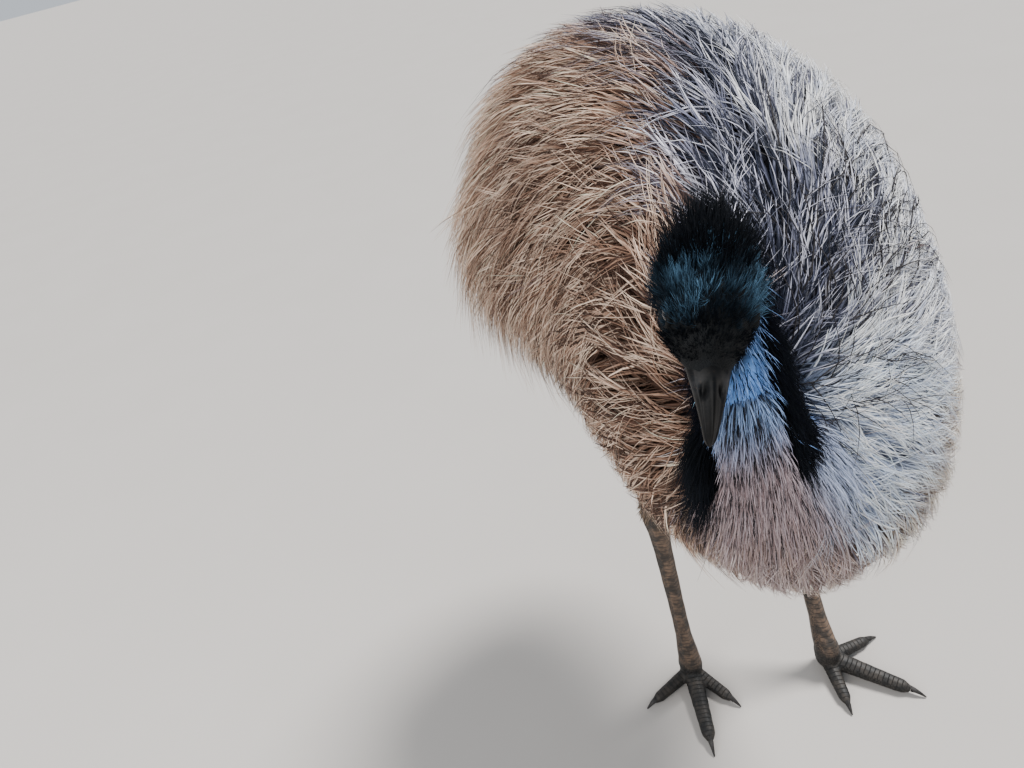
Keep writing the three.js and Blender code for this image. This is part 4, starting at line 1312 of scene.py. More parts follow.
@dataclass
class ThighFeathers:
    """Short hair-like feathers down each thigh to the hock."""

    count: int = 2600
    lengths: tuple[float, float] = (38, 66)
    seed: int = 41
    steps: int = 5
    finishes: dict = field(default_factory=dict)

    DARK = (0.045, 0.034, 0.027)
    # The left thigh's paler grey is painted sunlight on the lit side; the right's warmer brown is partly
    # painted warm bounce light.
    LIGHT = {Side.RIGHT: (0.30, 0.22, 0.155), Side.LEFT: (0.36, 0.33, 0.29)}

    def build(self) -> None:
        """Makes both thighs' feathers."""
        count = strand_count(self.count)
        for leg in LEGS:
            rng = np.random.default_rng(self.seed + leg.side.value)
            at = rng.uniform(0.18, 0.985, count)
            angle = rng.uniform(-math.pi, math.pi, count)
            length = rng.uniform(*self.lengths, count) * (1 - 0.45 * smoothstep(at, 0.75, 1))
            line = thigh_line(leg)
            long = np.linalg.norm(np.diff(line, axis=0), axis=1).sum()
            t = np.linspace(0, 1, self.steps)[None, :]
            place = np.clip(at[:, None] + length[:, None] * t / long, 0, 1)
            past = np.maximum(at[:, None] + length[:, None] * t / long - 1, 0) * long
            middle, side, lift, along = curve_frame(line, place.ravel(), np.array((1.0, 0, 0)))
            shape = (count, self.steps, 3)
            middle, side, lift, along = (v.reshape(shape) for v in (middle, side, lift, along))
            swing = (angle + 0.25 * rng.standard_normal(count))[:, None] * np.ones_like(t)
            out = side * np.sin(swing)[..., None] + lift * np.cos(swing)[..., None]
            half = station(THIGH_STATIONS, place, 1) * np.abs(np.sin(swing))
            high = station(THIGH_STATIONS, place, 2) * np.abs(np.cos(swing))
            reach = np.hypot(half, high) - 2 + 7 * t ** 0.7 * rng.uniform(0.4, 1.2, count)[:, None]
            points = middle + out * reach[..., None] + along * past[..., None]
            dark, light = np.array(self.DARK), np.array(self.LIGHT[leg.side])
            tone = rng.random(count)[:, None]
            middle_colour = tint(rng, dark + (light - dark) * tone, 0.15)
            spot = np.stack([0.83 + 0.07 * (angle / math.pi + 1) / 2 + 0.08 * (leg.side is Side.LEFT),
                             0.02 + 0.42 * at], -1)
            strands = Strands(points, out, rng.uniform(0.5, 1.3, count), np.full(count, 0.7),
                              np.tile(dark, (count, 1)), middle_colour, middle_colour * 1.25, spot, self.seed)
            piece = strands.build(f"thigh_feathers_{leg.side.name.lower()}", self.finishes["plume"])
            finish_piece(piece)


@dataclass
class NeckRuff:
    """Hair-like feathers of the neck: sparse above, a pale fan with black sides below."""

    fan: int = 6600
    flecks: int = 220
    sides: int = 4800
    hairs: int = 3800
    seed: int = 61
    steps: int = 5
    finishes: dict = field(default_factory=dict)

    FRONT = (-0.35, -0.94, 0.0)
    PALE, BRIGHT = (0.34, 0.24, 0.25), (0.62, 0.53, 0.58)
    # BLUE is painted sky light: a blue cast on the pale fan strands of the lit left side.
    BLUE, HIGH_BLUE, TAN = (0.58, 0.69, 0.94), (0.26, 0.38, 0.62), (0.55, 0.37, 0.25)
    DARK, BLACK = (0.012, 0.012, 0.016), (0.003, 0.004, 0.006)
    HAIR_BLUE, HAIR_BLACK = (0.28, 0.46, 0.86), (0.003, 0.004, 0.008)

    def neck_surface(self, at: np.ndarray, turn: np.ndarray,
                     out: np.ndarray) -> tuple[np.ndarray, np.ndarray]:
        """Points off the neck.

        Args:
            at: place along the neck's line.
            turn: angle round the neck from its front, positive to the left, in radians.
            out: distance beyond the neck's surface.

        Returns:
            Points and outward directions.
        """
        shape = at.shape
        front = unit(np.array(self.FRONT))
        middle, side, _, along = curve_frame(NECK_LINE, at.ravel(), np.cross(front, (0, 0, -1.0)))
        middle, side, along = (v.reshape(*shape, 3) for v in (middle, side, along))
        ahead = unit(np.cross(side, along))
        flip = np.sign(np.einsum("...k,k->...", ahead, front))[..., None]
        ahead = ahead * np.where(flip == 0, 1, flip)
        side = side * np.sign(side[..., :1] + 1e-9)
        outward = ahead * np.cos(turn)[..., None] + side * np.sin(turn)[..., None]
        half = station(NECK_STATIONS, at, 1)
        high = station(NECK_STATIONS, at, 2)
        reach = np.hypot(half * np.sin(turn), high * np.cos(turn)) + out
        return middle + outward * reach[..., None], outward

    def hanging(self, rng: np.random.Generator, at: np.ndarray, turn: np.ndarray, length: np.ndarray,
                spread: float, lift: float) -> tuple[np.ndarray, np.ndarray]:
        """Paths that hang from the neck and spread away from it.

        Args:
            rng: seeded random numbers.
            at: root's place along the neck.
            turn: root's turn from the front.
            length: length of each strand.
            spread: how far they spread outwards for each millimetre down.
            lift: how far they bulge.

        Returns:
            Points and outward directions.
        """
        count = len(at)
        start, outward = self.neck_surface(at, turn, np.full(count, -3.0))
        t = np.linspace(0, 1, self.steps)[None, :, None]
        down = np.array((0, 0, -1.0))
        wide = spread * (0.7 + 0.6 * rng.random(count))[:, None]
        flow = unit(down + wide * outward + 0.11 * rng.standard_normal((count, 3)))
        bulge = outward[:, None] * (lift * rng.uniform(0.6, 1.4, count))[:, None, None] * np.sin(t * 2.2)
        curl = rng.standard_normal((count, 1, 3)) * 0.07 * length[:, None, None] * t**2
        points = start[:, None] + flow[:, None] * (length[:, None, None] * t) + bulge + curl
        points[..., 2] -= 5 * t[..., 0] ** 2
        return points, np.repeat(outward[:, None], self.steps, axis=1) + (0, 0, 0.2)

    def spots(self, at: np.ndarray, turn: np.ndarray) -> np.ndarray:
        """Places of the roots on the unwrapped skin of the neck."""
        round_it = 0.66 + 0.15 * (np.mod(turn + math.pi, 2 * math.pi)) / (2 * math.pi)
        return np.stack([round_it, 0.02 + 0.9 * at], -1)

    def fan_strands(self) -> Strands:
        """Pale fan of the neck's foot, hanging and spreading over the breast."""
        rng = np.random.default_rng(self.seed)
        count = strand_count(self.fan)
        at = 0.24 + 0.43 * rng.random(count) ** 1.25
        turn = rng.uniform(-1.0, 1.0, count) * (1.4 - 0.75 * smoothstep(at, 0.38, 0.56)) - 0.06
        turn = np.where((turn > 0) & (at < 0.5), 1.75 * turn, turn)
        low = 1 - smoothstep(at, 0.3, 0.6)
        length = rng.uniform(34, 64, count) * (0.5 + 0.75 * low)
        points, lifts = self.hanging(rng, at, turn, length, 0.42, 9)
        light = blended(np.array(self.PALE), np.array(self.BRIGHT), rng.random(count))
        # Painted sky light: the pale strands on the fan's left side take a blue cast.
        sky_lit_side = smoothstep(turn, 0.45, 1.1) * 0.85
        light = blended(light, np.array(self.BLUE), sky_lit_side)
        high = smoothstep(at, 0.56, 0.67)
        light = blended(light, np.array(self.HIGH_BLUE), high)
        fringe = 0.8 * low * rng.random(count) * (1 - sky_lit_side)
        is_dark = (rng.random(count) < 0.2 + 0.4 * smoothstep(-turn, 0.6, 1.2) + 0.1 * high)[:, None]
        dark = np.array(self.DARK)
        body = np.where(is_dark, dark, light * 0.9)
        end = np.where(is_dark, dark * 2, blended(light, np.array(self.TAN), fringe))
        half = rng.uniform(0.28, 0.6, count)
        return Strands(points, lifts, half, np.full(count, 0.5), 0.7 * body + 0.14 * light,
                       tint(rng, body, 0.12), tint(rng, end, 0.12), self.spots(at, turn), self.seed)

    def dark_strands(self) -> Strands:
        """Black hair beside the fan and as flecks over its root."""
        rng = np.random.default_rng(self.seed + 1)
        sides, flecks = strand_count(self.sides), strand_count(self.flecks)
        left = rng.random(sides) < 0.5
        at = np.where(left, rng.uniform(0.5, 0.82, sides), rng.uniform(0.26, 0.62, sides))
        turn = np.where(left, rng.uniform(0.72, 2.0, sides), rng.uniform(-2.1, -1.05, sides))
        length = np.where(left, rng.uniform(22, 44, sides), rng.uniform(40, 78, sides))
        at = np.concatenate([at, rng.uniform(0.46, 0.66, flecks)])
        turn = np.concatenate([turn, rng.uniform(-1, 1, flecks)])
        length = np.concatenate([length, rng.uniform(16, 34, flecks)])
        points, lifts = self.hanging(rng, at, turn, length, 0.3, 10)
        black = np.tile(self.BLACK, (len(at), 1))
        half = rng.uniform(0.3, 0.62, len(at))
        return Strands(points, lifts, half, np.full(len(at), 0.5), black, black,
                       tint(rng, black * 3, 0.3), self.spots(at, turn), self.seed + 1)

    def neck_hairs(self) -> Strands:
        """Hair over the bare blue skin: sparse in front, dense and black round the sides and back."""
        rng = np.random.default_rng(self.seed + 2)
        tries = 3 * strand_count(self.hairs)
        at = rng.uniform(0.5, 1.0, tries)
        turn = rng.uniform(-math.pi, math.pi, tries)
        dense = np.maximum(smoothstep(turn, 0.62, 0.95), smoothstep(-turn, 0.9, 1.3))
        keep = rng.random(tries) < np.clip(0.42 + 0.2 * (1 - smoothstep(at, 0.55, 0.68)) + dense, 0, 1)
        at, turn, dense = at[keep], turn[keep], dense[keep]
        count = len(at)
        start, outward = self.neck_surface(at, turn, np.full(count, -1.5))
        further, _ = self.neck_surface(np.clip(at - 0.06, 0, 1), turn, np.full(count, 3.0))
        flow = unit(further - start)
        length = rng.uniform(9, 18, count) * (1 + 0.8 * dense)
        steps = 4
        t = np.linspace(0, 1, steps)[None, :, None]
        heading = (flow + 0.22 * rng.standard_normal((count, 3)) + 0.25 * outward)[:, None]
        bulge = outward[:, None] * 2 * np.sin(t * 2.4)
        points = start[:, None] + heading * (length[:, None, None] * t) + bulge
        pale = (rng.random(count) < 0.62 * (1 - dense))[:, None]
        colour = np.where(pale, self.HAIR_BLUE, self.HAIR_BLACK)
        lifts = np.repeat(outward[:, None], steps, axis=1)
        half = rng.uniform(0.2, 0.36, count)
        return Strands(points, lifts, half, np.full(count, 0.3), colour, colour,
                       tint(rng, colour * 1.2, 0.2), self.spots(at, turn), self.seed + 2)

    def build(self) -> None:
        """Makes all three kinds."""
        finish_piece(self.fan_strands().build("ruff_fan", self.finishes["fine"]))
        finish_piece(self.dark_strands().build("ruff_sides", self.finishes["dark"]))
        finish_piece(self.neck_hairs().build("neck_hairs", self.finishes["dark"]))


# Head

@dataclass
class Head:
    """Skull, cheeks, lids and ear cups in one skin with the upper neck, and its hair."""

    voxel: float = 0.0016
    hairs: int = 11200
    crest: int = 1300
    seed: int = 83
    stations: np.ndarray = field(default_factory=lambda: np.array([
        (0, 10, 10, 10),
        (0.05, 23, 20, 20),
        (0.2, 35, 31, 30),
        (0.4, 40.5, 35, 31),
        (0.55, 39.5, 34, 29),
        (0.67, 36, 29, 24),
        (0.77, 29.5, 22.5, 18),
        (0.85, 22.5, 14, 11),
        (0.92, 15, 9, 6.5),
        (1, 8, 5, 4),
    ], float))
    back: float = 74
    front: float = -58
    back_z: float = -2
    front_z: float = -12
    eye_y: float = 0
    eye_z: float = 3
    ear: tuple[float, float, float] = (37.0, 30.0, -8.0)
    mouth_z: float = -14.5
    lid_ring: float = 12.2
    lid_thick: float = 2.3
    lid_side: float = 35.4
    finishes: dict = field(default_factory=dict)

    NECK_BLUE, NECK_FOOT, FACE = (0.15, 0.33, 0.74), (0.11, 0.09, 0.09), (0.004, 0.005, 0.006)
    # HAIR_BLUE is a painted sheen: blue highlights on the black hair.
    HAIR_BLACK, HAIR_BLUE = (0.002, 0.003, 0.005), (0.13, 0.27, 0.42)

    def surface(self, t: np.ndarray, angle: np.ndarray) -> np.ndarray:
        """Points of the skull in the head's own frame, t from the nape to the forehead."""
        y = self.back + (self.front - self.back) * t
        z = self.back_z + (self.front_z - self.back_z) * t
        lift = np.where(np.cos(angle) > 0, station(self.stations, t, 2), station(self.stations, t, 3))
        half = station(self.stations, t, 1)
        brow = 1 + 0.07 * bump(t, 0.5, 0.2) * bump(np.abs(angle), 1.0, 0.6)
        socket = 1 - 0.10 * bump(t, 0.57, 0.14) * bump(np.abs(angle), 1.5, 0.45)
        x = half * np.sin(angle) * brow * socket
        return np.stack(np.broadcast_arrays(x, y, z + lift * np.cos(angle) * brow), -1)

    def skull_mesh(self) -> bpy.types.Mesh:
        """Closed skull."""
        def place(q: np.ndarray, angle: np.ndarray) -> np.ndarray:
            """Point of the skull for one vertex of the sphere."""
            t = 0.5 - 0.5 * np.cos(math.pi * q)
            points = self.surface(t, angle)
            pole = (q < 1e-4) | (q > 1 - 1e-4)
            points[pole, 0] = 0
            points[pole, 2] = np.where(q[pole] < 0.5, self.back_z, self.front_z)
            points[pole, 1] += np.where(q[pole] < 0.5, 5, -5)
            return from_head(points)

        return warped_sphere(64, 56, place)

    def lid_mesh(self, side: int) -> bpy.types.Mesh:
        """Ring of lid round one eye."""
        mesh = bpy.data.meshes.new("lid")
        bm = bmesh.new()
        circle = bmesh.ops.create_circle(bm, cap_ends=False, segments=10, radius=self.lid_thick)
        bmesh.ops.translate(bm, verts=circle["verts"], vec=(self.lid_ring, 0, 0))
        upright = Matrix.Rotation(math.pi / 2, 3, "X")
        bmesh.ops.rotate(bm, verts=circle["verts"], cent=(self.lid_ring, 0, 0), matrix=upright)
        bmesh.ops.spin(bm, geom=bm.verts[:] + bm.edges[:], cent=(0, 0, 0), axis=(0, 0, 1),
                       angle=2 * math.pi, steps=36, use_merge=True)
        bmesh.ops.remove_doubles(bm, verts=bm.verts, dist=1e-4)
        bmesh.ops.recalc_face_normals(bm, faces=bm.faces)
        bm.to_mesh(mesh)
        bm.free()
        co = coordinates(mesh)
        almond = 1 - 0.12 * np.abs(co[:, 1]) / self.lid_ring
        local = np.stack([side * (self.lid_side + co[:, 2]), co[:, 0], co[:, 1] * almond], -1)
        move_to(mesh, to_part(from_head(local + (0, self.eye_y, self.eye_z))))
        tidy_normals(mesh)
        return mesh

    def build_skin(self) -> None:
        """Makes the head's skin, with the bare neck, ear cups and mouth corners, and its markings."""
        neck = limb_mesh(NECK_LINE, NECK_STATIONS, 40, 48, inset=1)
        surfaces = [self.skull_mesh(), neck, self.lid_mesh(1), self.lid_mesh(-1)]
        mesh = fused("head_skin", surfaces, self.voxel, 4)
        co = to_bird(coordinates(mesh))
        local = to_head(co)
        co = self.carved(co, local, normals(mesh))
        move_to(mesh, to_part(co))
        on_head = smoothstep(-np.linalg.norm(local * (1.0, 0.62, 1.0), axis=1), -62, -46)
        nape = smoothstep(local[:, 1], 34, 52) * smoothstep(local[:, 2], -80, -50)
        low = 1 - smoothstep(co[:, 2], 790, 835)
        bare = blended(np.array(self.NECK_BLUE), np.array(self.NECK_FOOT), low)
        paint(mesh, "coat_colour", blended(bare, np.array(self.FACE), np.maximum(on_head, nape)))
        mesh.materials.append(SkinFinish("bare_skin", 0.55, 420.0, 0.0006).build())
        finish_piece(link("head_skin", mesh), ("head", "neck_upper"))

    def carved(self, co: np.ndarray, local: np.ndarray, out: np.ndarray) -> np.ndarray:
        """Sinks the ear cups and the corners of the mouth into the skin.

        Args:
            co: points of the skin in the bird's own frame.
            local: the same points in the head's frame.
            out: outward normals.

        Returns:
            The new points in the bird's own frame.
        """
        mouth = local[:, 2] - self.mouth_z + 0.06 * (local[:, 1] + 40)
        gape = bump(mouth, 0, 1.8) * (np.abs(local[:, 0]) > 12) * smoothstep(-local[:, 1], 30, 40)
        for side in (-1, 1):
            far = np.linalg.norm(local - np.array(self.ear) * (side, 1, 1), axis=1)
            co = co + out * (1.2 * bump(far, 10, 4) - 6.5 * bump(far, 0, 9))[:, None]
            co = co - out * (1.6 * gape)[:, None]
        return co

    def build_hair(self) -> None:
        """Makes the short hair of the head and the bristles of the nape."""
        rng = np.random.default_rng(self.seed)
        clump = 5
        count = strand_count(self.hairs) // clump
        t = rng.uniform(0.02, 0.86, 3 * count)
        angle = rng.uniform(-math.pi, math.pi, 3 * count)
        low = smoothstep(np.abs(angle), 1.3, 2.1)
        keep = rng.random(3 * count) < 1 - 0.7 * low
        from_eye = self.back + (self.front - self.back) * t - self.eye_y
        keep &= np.hypot(from_eye, 34 * (np.abs(angle) - 1.5)) > 11.5
        t, angle = t[keep][:count], angle[keep][:count]
        each = np.repeat(np.arange(len(t)), clump)
        size = len(each)
        # Painted sheen: tone puts blue highlights on the crown band, fades them down the sides and breaks
        # them into patches.
        tone = rng.random(len(t)) ** 0.9 * (1 - smoothstep(t, 0.56, 0.72)) * smoothstep(t, 0.15, 0.25)
        tone = tone * (1 - 0.75 * smoothstep(np.abs(angle), 1.0, 1.6))
        patches = np.sin(t * 24 + 2.4 * np.sin(angle * 2.3 + 0.9)) + np.sin(angle * 4.1 + 7 * t + 0.4)
        tone = tone * (0.08 + 0.92 * smoothstep(patches, -0.5, 1.0))
        root_t = np.clip(t[each] + 0.008 * rng.standard_normal(size), 0.01, 0.865)
        root_angle = angle[each] + 0.035 * rng.standard_normal(size)
        length = rng.uniform(9, 18, size) * (1 - 0.68 * smoothstep(root_t, 0.5, 0.82))
        aside = 0.42 * rng.standard_normal((len(t), 3))[each]
        stand = 0.5 + 0.4 * rng.random(size)
        short = self.hair(rng, root_t, root_angle, length, stand, 0.27, aside, tone[each])
        count = strand_count(self.crest)
        nape = self.hair(rng, rng.uniform(0.02, 0.36, count), rng.normal(0, 0.6, count),
                         rng.uniform(18, 42, count), 0.5 + 0.7 * rng.random(count), 0.36,
                         0.3 * rng.standard_normal((count, 3)), np.zeros(count))
        finish_piece(short.build("head_hair", self.finishes["hair"]))
        finish_piece(nape.build("nape_bristles", self.finishes["hair"]))

    def hair(self, rng: np.random.Generator, t: np.ndarray, angle: np.ndarray, length: np.ndarray,
             stand: np.ndarray, half: float, aside: np.ndarray, tone: np.ndarray) -> Strands:
        """Hairs of the head.

        Args:
            rng: seeded random numbers.
            t: root's place from the nape to the forehead.
            angle: root's turn from the crown.
            length: length of each hair.
            stand: how far each hair stands off the skin.
            half: half width of a hair.
            aside: how each hair strays from the flow.
            tone: 0 for black and 1 for the bluest painted sheen.

        Returns:
            The strands.
        """
        steps = 4
        count = len(t)
        root = self.surface(t, angle)
        ahead = self.surface(np.clip(t - 0.03, 0, 1), angle) - self.surface(np.clip(t + 0.03, 0, 1), angle)
        round_it = self.surface(t, angle + 0.03) - self.surface(t, angle - 0.03)
        outward = unit(np.cross(round_it, ahead))
        outward = outward * np.sign((outward * (root - (0, 0, -6))).sum(1))[:, None]
        flow = unit(ahead)
        heading = unit(flow * (1 - 0.4 * stand)[:, None] + outward * stand[:, None]
                       + aside + 0.14 * rng.standard_normal((count, 3)))
        step = np.linspace(0, 1, steps)[None, :, None]
        bend = flow[:, None] * (length[:, None, None] * 0.35) * step**2
        points = (root - outward * 1.5)[:, None] + heading[:, None] * length[:, None, None] * step + bend
        lifts = np.repeat(outward[:, None], steps, axis=1)
        left, back, crown = head_axes()
        turned = lifts[..., :1] * left + lifts[..., 1:2] * back + lifts[..., 2:3] * crown
        dark = np.tile(self.HAIR_BLACK, (count, 1))
        # The tips take the painted blue sheen.
        blue = dark + tone[:, None] * np.array(self.HAIR_BLUE)
        spot = np.stack([0.83 + 0.15 * (angle + math.pi) / (2 * math.pi), 0.52 + 0.45 * t], -1)
        return Strands(from_head(points), turned, rng.uniform(0.7, 1.2, count) * half,
                       np.full(count, half * 1.2), dark, 0.5 * (dark + blue), blue, spot, self.seed)

    def build(self) -> None:
        """Makes skin and hair."""
        self.build_skin()
        self.build_hair()


@dataclass
class Eyes:
    """Eyeballs with iris, pupil and a wet surface."""

    radius: float = 12.4
    place: tuple[float, float, float] = (25.6, 0, 3)

    RIM, IRIS, PUPIL = (0.02, 0.016, 0.014), (0.075, 0.026, 0.010), (0.003, 0.003, 0.003)

    def build(self) -> None:
        """Makes both eyes."""
        material, tree, shader = new_material("wet_eye", 0.08, 0.6)
        shader.inputs["Coat Weight"].default_value = 0.6
        noise = tree.node("ShaderNodeTexNoise", inputs={"Scale": 900.0, "Detail": 3.0})
        tree.join(tree.coordinates(), noise.inputs["Vector"])
        shade = tree.mix(noise.outputs["Fac"], (0.7,) * 3, (1.3,) * 3)
        tree.join(tree.mix(1.0, tree.attribute("coat_colour").outputs["Color"], shade, "MULTIPLY"),
                  shader.inputs["Base Color"])
        for side in (1, -1):
            name = "eye_left" if side > 0 else "eye_right"

            def place(q: np.ndarray, angle: np.ndarray, side: int = side) -> np.ndarray:
                """Point of the eyeball, its first pole looking outwards."""
                polar = q * math.pi
                bulge = self.radius * (1 + 0.05 * bump(polar, 0, 0.6))
                local = np.stack([side * np.cos(polar) * bulge, np.sin(polar) * np.cos(angle) * self.radius,
                                  np.sin(polar) * np.sin(angle) * self.radius], -1)
                return from_head(local + np.array(self.place) * (side, 1, 1))

            mesh = warped_sphere(32, 24, place)
            co = to_bird(coordinates(mesh))
            left, _, _ = head_axes()
            centre = from_head(np.array(self.place) * (side, 1, 1))
            outward = (co - centre) @ left * side / self.radius
            colours = blended(np.array(self.RIM), np.array(self.IRIS), smoothstep(outward, 0.55, 0.66))
            colours = blended(colours, np.array(self.PUPIL), smoothstep(outward, 0.8, 0.84))
            paint(mesh, "coat_colour", colours)
            mesh.materials.append(material)
            finish_piece(link(f"eyeball_{name[4:]}", mesh), (name,))


@dataclass
class Bill:
    """Broad flat bill with a raised ridge, nostrils and a mouth line."""

    base: float = -30
    middle: float = -77
    tip: float = -104
    base_z: float = -13
    middle_z: float = -17.5
    tip_z: float = -27
    half: float = 22.5
    tip_half: float = 3.8
    rise: float = 15
    drop: float = 8
    tip_lift: float = 4
    mouth: float = 0.6
    nostril: tuple[float, float] = (7.0, -62)
    nostril_half: tuple[float, float] = (3.2, 8.5)
    nostril_depth: float = 3.2
    tone: tuple[float, float, float] = (0.12, 0.135, 0.15)
    finish: HornFinish = HornFinish("horn_of_the_bill", (0.012, 0.014, 0.017), (0.050, 0.044, 0.041),
                                    (0.13, 0.085, 0.06), 0.36)

    def half_mesh(self, up: int) -> bpy.types.Mesh:
        """One half of the bill, up is 1 for the upper and -1 for the lower."""
        rings = 56

        def place(q: np.ndarray, angle: np.ndarray) -> np.ndarray:
            """Point of this half for one vertex of the sphere."""
            t = np.clip((q * rings - 1) / (rings - 2), 0, 1)
            line = np.array([
                (0, self.base, self.base_z),
                (0, self.middle, self.middle_z),
                (0, self.tip, self.tip_z),
            ])
            centre = curve_points(line, t)
            narrow = self.half + (self.tip_half - self.half) * t ** 0.92
            round_tip = np.sqrt(np.clip(1 - (np.clip(t - 0.9, 0, 1) / 0.1) ** 2, 0.02, 1))
            narrow = narrow * round_tip
            lift = (self.rise if up > 0 else self.drop) * (1 - t) + self.tip_lift * t
            arch = np.maximum(np.cos(angle) * up, 0)
            ridge = 0.0
            if up > 0:
                width = 0.34 + 0.2 * t
                ridge = 2.6 * smoothstep(t, 0.12, 0.34) * bump(angle, 0, width)
                ridge = ridge - 1.1 * smoothstep(t, 0.08, 0.3) * bump(np.abs(angle), width + 0.25, 0.3)
            pole = (q < 1e-4) | (q > 1 - 1e-4)
            x = np.where(pole, 0, narrow * np.sin(angle))
            z = np.where(pole, 0.5, arch * lift * round_tip + ridge * round_tip + self.mouth / 2)
            return from_head(np.stack([x, centre[:, 1], centre[:, 2] + up * z], -1))

        return warped_sphere(72, rings, place)

    def build(self) -> None:
        """Makes both halves, dents the nostrils and paints shade into them, and darkens the ridge."""
        for up, node in ((1, "bill_upper"), (-1, "bill_lower")):
            mesh = self.half_mesh(up)
            co = to_bird(coordinates(mesh))
            crown = head_axes()[2]
            local = to_head(co)
            shade = np.ones(len(co))
            if up > 0:
                # The nostrils are dented, and painted shade darkens each one's hollow.
                for side in (-1, 1):
                    across = (local[:, 0] - side * self.nostril[0]) / self.nostril_half[0]
                    far = np.hypot(across, (local[:, 1] - self.nostril[1]) / self.nostril_half[1])
                    inside = bump(far, 0, 1.15)
                    co = co - crown * (self.nostril_depth * inside)[:, None]
                    shade = shade * (1 - 0.95 * inside)
                ridge = bump(local[:, 0], 0, 5.0) * smoothstep(-local[:, 1], 60, 72)
                patch = bump(np.hypot(np.abs(local[:, 0]) - 12, (local[:, 1] + 56) / 1.5), 0, 9)
                shade = shade * (1 - 0.9 * ridge) * (1 + 3.5 * patch)
                shade = shade * (0.25 + 0.75 * smoothstep(-local[:, 1], 38, 52))
            move_to(mesh, to_part(co))
            paint(mesh, "coat_colour", shade[:, None] * np.array(self.tone))
            mesh.materials.append(self.finish.build())
            finish_piece(link(node.replace("bill", "horn"), mesh), (node,))


# Legs

@dataclass
class Legs:
    """Bare scaled shanks and toes, each leg in one skin."""

    voxel: float = 0.0021
    finish: ScaleFinish = ScaleFinish("leg_scales", (0.018, 0.014, 0.011), (0.055, 0.044, 0.036),
                                      (0.26, 0.17, 0.115), 0.6)

    TOE_TINT = (0.24, 0.30, 0.36)

    def build(self) -> None:
        """Makes both legs."""
        material = self.finish.build()
        for leg in LEGS:
            side = leg.side.name.lower()
            nodes = [f"tarsus_{side}"] + [f"toe_{toe}_{side}" for toe in ("inner", "middle", "outer")]
            mesh = fused(f"leg_{side}", [merged_copy(node) for node in nodes], self.voxel, 5)
            self.mark_scutes(mesh, leg)
            mesh.materials.append(material)
            finish_piece(link(f"leg_{side}", mesh), nodes)

    def mark_scutes(self, mesh: bpy.types.Mesh, leg: Leg) -> None:
        """Keeps where the broad scutes lie, their count along the leg, the tint of the toes and painted shade
        on their undersides.
        """
        co = to_bird(coordinates(mesh))
        out = normals(mesh)
        joint = np.array(leg.joint)
        far = np.linalg.norm((co - joint)[:, :2], axis=1)
        toe = 1 - smoothstep(co[:, 2], 40, 62)
        bands = np.where(co[:, 2] > 52, co[:, 2] / 8.5, far / 7.5)
        front_shank = smoothstep(-out[:, 1], 0.25, 0.7)
        top_toe = smoothstep(out[:, 2], 0.35, 0.75) * smoothstep(far, 16, 26)
        mark(mesh, "scute", bands)
        mark(mesh, "front", front_shank * (1 - toe) + top_toe * toe)
        # Painted shade: the toes' downward-facing undersides are darkened.
        under = smoothstep(-out[:, 2], 0.2, 0.8)[:, None] * toe[:, None]
        colours = blended(np.ones(3), np.array(self.TOE_TINT), toe)
        paint(mesh, "coat_colour", colours * 0.6 * (1 - 0.3 * under))


@dataclass
class Claws:
    """Blunt worn claws, smoothed from their solids."""

    finish: HornFinish = HornFinish("horn_of_the_claws", (0.018, 0.017, 0.017), (0.045, 0.043, 0.042),
                                    (0.10, 0.09, 0.08), 0.5)

    def build(self) -> None:
        """Makes all six claws."""
        material = self.finish.build()
        for leg in LEGS:
            side = leg.side.name.lower()
            for toe in ("inner", "middle", "outer"):
                node = f"claw_{toe}_{side}"
                piece = link(f"nail_{toe}_{side}", merged_copy(node))
                rounder = piece.modifiers.new("rounder", "SUBSURF")
                rounder.levels = 2
                rounder.render_levels = 2
                mesh = evaluated(piece)
                mesh.materials.clear()
                mesh.materials.append(material)
                paint(mesh, "coat_colour", np.ones((len(mesh.vertices), 3)))
                finish_piece(link(f"nail_{toe}_{side}", mesh), (node,))


# Studio

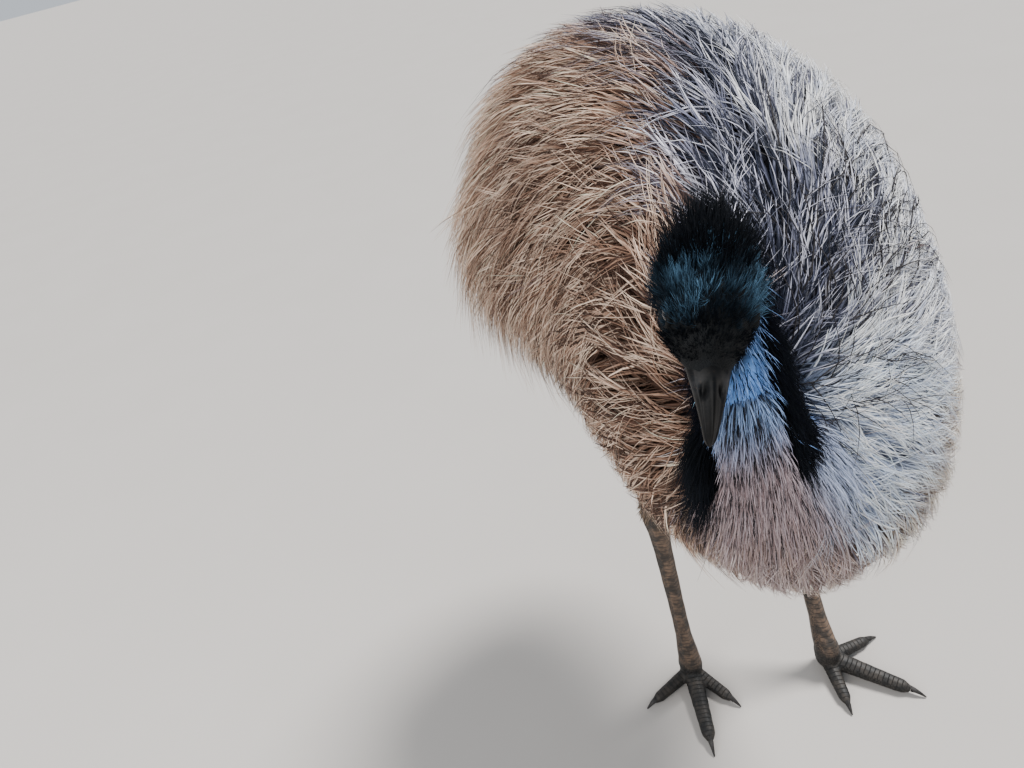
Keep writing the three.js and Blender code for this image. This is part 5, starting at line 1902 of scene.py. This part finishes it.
@dataclass
class Studio:
    """Plain pale floor, soft light and the camera at the photograph's viewing angle."""

    camera_place: tuple[float, float, float] = (-468.5, -824.2, 1297.0)
    camera_right: tuple[float, float, float] = (0.9212, -0.3241, -0.2154)
    camera_up: tuple[float, float, float] = (0.3524, 0.46, 0.815)
    lens: float = 27.42
    sensor: float = 36.0
    clip: tuple[float, float] = (0.02, 400)
    floor_size: float = 90
    floor_drop: float = 0.0005
    key_power: float = 5.9
    key_angle: float = 0.3
    key_from: tuple[float, float, float] = (1.7, 0.5, 2.9)
    fill_power: float = 62.0
    fill_size: float = 2.4
    fill_place: tuple[float, float, float] = (-2.2, -1.6, 1.9)
    lamp_aim: tuple[float, float, float] = (0, 0, 0.7)
    sky_strength: float = 0.74

    FLOOR_DARK, FLOOR_LIGHT = (0.45, 0.425, 0.40), (0.48, 0.455, 0.43)
    KEY_COLOUR, FILL_COLOUR, SKY_COLOUR = (1.0, 0.98, 0.96), (1.0, 0.97, 0.93), (0.86, 0.92, 1.0, 1)

    def add_camera(self) -> None:
        """Places the camera."""
        data = bpy.data.cameras.new("view")
        data.lens = self.lens
        data.sensor_width = self.sensor
        data.sensor_fit = "HORIZONTAL"
        data.clip_start, data.clip_end = self.clip
        right = Vector(self.camera_right).normalized()
        up = Vector(self.camera_up)
        up = (up - up.dot(right) * right).normalized()
        back = right.cross(up)
        turn = Matrix((right, up, back)).transposed().to_4x4()
        camera = bpy.data.objects.new("view", data)
        camera.matrix_world = Matrix.Translation(Vector(to_part(np.array(self.camera_place)))) @ turn
        bpy.context.scene.collection.objects.link(camera)
        bpy.context.scene.camera = camera

    def add_floor(self) -> None:
        """Lays the floor."""
        mesh = bpy.data.meshes.new("floor")
        bm = bmesh.new()
        bmesh.ops.create_grid(bm, x_segments=2, y_segments=2, size=self.floor_size)
        bm.to_mesh(mesh)
        bm.free()
        floor = link("floor", mesh, smooth=False)
        material, tree, shader = new_material("pale_floor", 0.9, 0.2)
        noise = tree.node("ShaderNodeTexNoise", inputs={"Scale": 3.0, "Detail": 3.0})
        tree.join(tree.coordinates(), noise.inputs["Vector"])
        tone = tree.mix(noise.outputs["Fac"], self.FLOOR_DARK, self.FLOOR_LIGHT)
        tree.join(tone, shader.inputs["Base Color"])
        mesh.materials.append(material)
        floor.location.z = -self.floor_drop

    def add_lamp(self, name: str, place: Vector, size: float, power: float, colour: Sequence[float]) -> None:
        """Hangs one square lamp that looks at the bird."""
        data = bpy.data.lights.new(name, "AREA")
        data.shape = "SQUARE"
        data.size = size
        data.energy = power
        data.color = colour
        lamp = bpy.data.objects.new(name, data)
        lamp.location = place
        aim = Vector(self.lamp_aim) - place
        lamp.rotation_euler = aim.to_track_quat("-Z", "Y").to_euler()
        bpy.context.scene.collection.objects.link(lamp)

    def add_key(self) -> None:
        """Adds the broad distant key light, from the bird's left and behind."""
        data = bpy.data.lights.new("key", "SUN")
        data.energy = self.key_power
        data.angle = self.key_angle
        data.color = self.KEY_COLOUR
        lamp = bpy.data.objects.new("key", data)
        lamp.rotation_euler = (-Vector(self.key_from)).to_track_quat("-Z", "Y").to_euler()
        bpy.context.scene.collection.objects.link(lamp)

    def build(self) -> None:
        """Sets up floor, lamps, surroundings and camera."""
        self.add_floor()
        self.add_key()
        self.add_lamp("fill", Vector(self.fill_place), self.fill_size, self.fill_power, self.FILL_COLOUR)
        world = bpy.data.worlds.new("surroundings")
        world.use_nodes = True
        sky = world.node_tree.nodes["Background"]
        sky.inputs["Color"].default_value = self.SKY_COLOUR
        sky.inputs["Strength"].default_value = self.sky_strength
        bpy.context.scene.world = world
        self.add_camera()
        LOG.info("studio ready")


def main() -> None:
    """Builds every part of the bird, then the studio round it."""
    streaks = streak_group()
    plume = PlumeFinish("plume", 0.62, 0.22, 5.0, 0.6, 1.2).build(streaks)
    fine = PlumeFinish("fine_feather", 0.6, 0.2, 2.0, 0.8, 1.12).build(streaks)
    dark = PlumeFinish("black_hair", 0.6, 0.04, 2.0, 0.8, 1.12).build(streaks)
    hair = PlumeFinish("head_hair", 0.6, 0.05, 2.0, 0.75, 1.25).build(streaks)
    Skin().build()
    Head(finishes={"hair": hair}).build()
    Bill().build()
    Eyes().build()
    Legs().build()
    Claws().build()
    BodyPlumage(finishes={"plume": plume}).build()
    ThighFeathers(finishes={"plume": plume}).build()
    NeckRuff(finishes={"fine": fine, "dark": dark}).build()
    Studio().build()


if __name__ == "__main__":
    logging.basicConfig(level=logging.INFO, format="%(name)s: %(message)s")
    main()
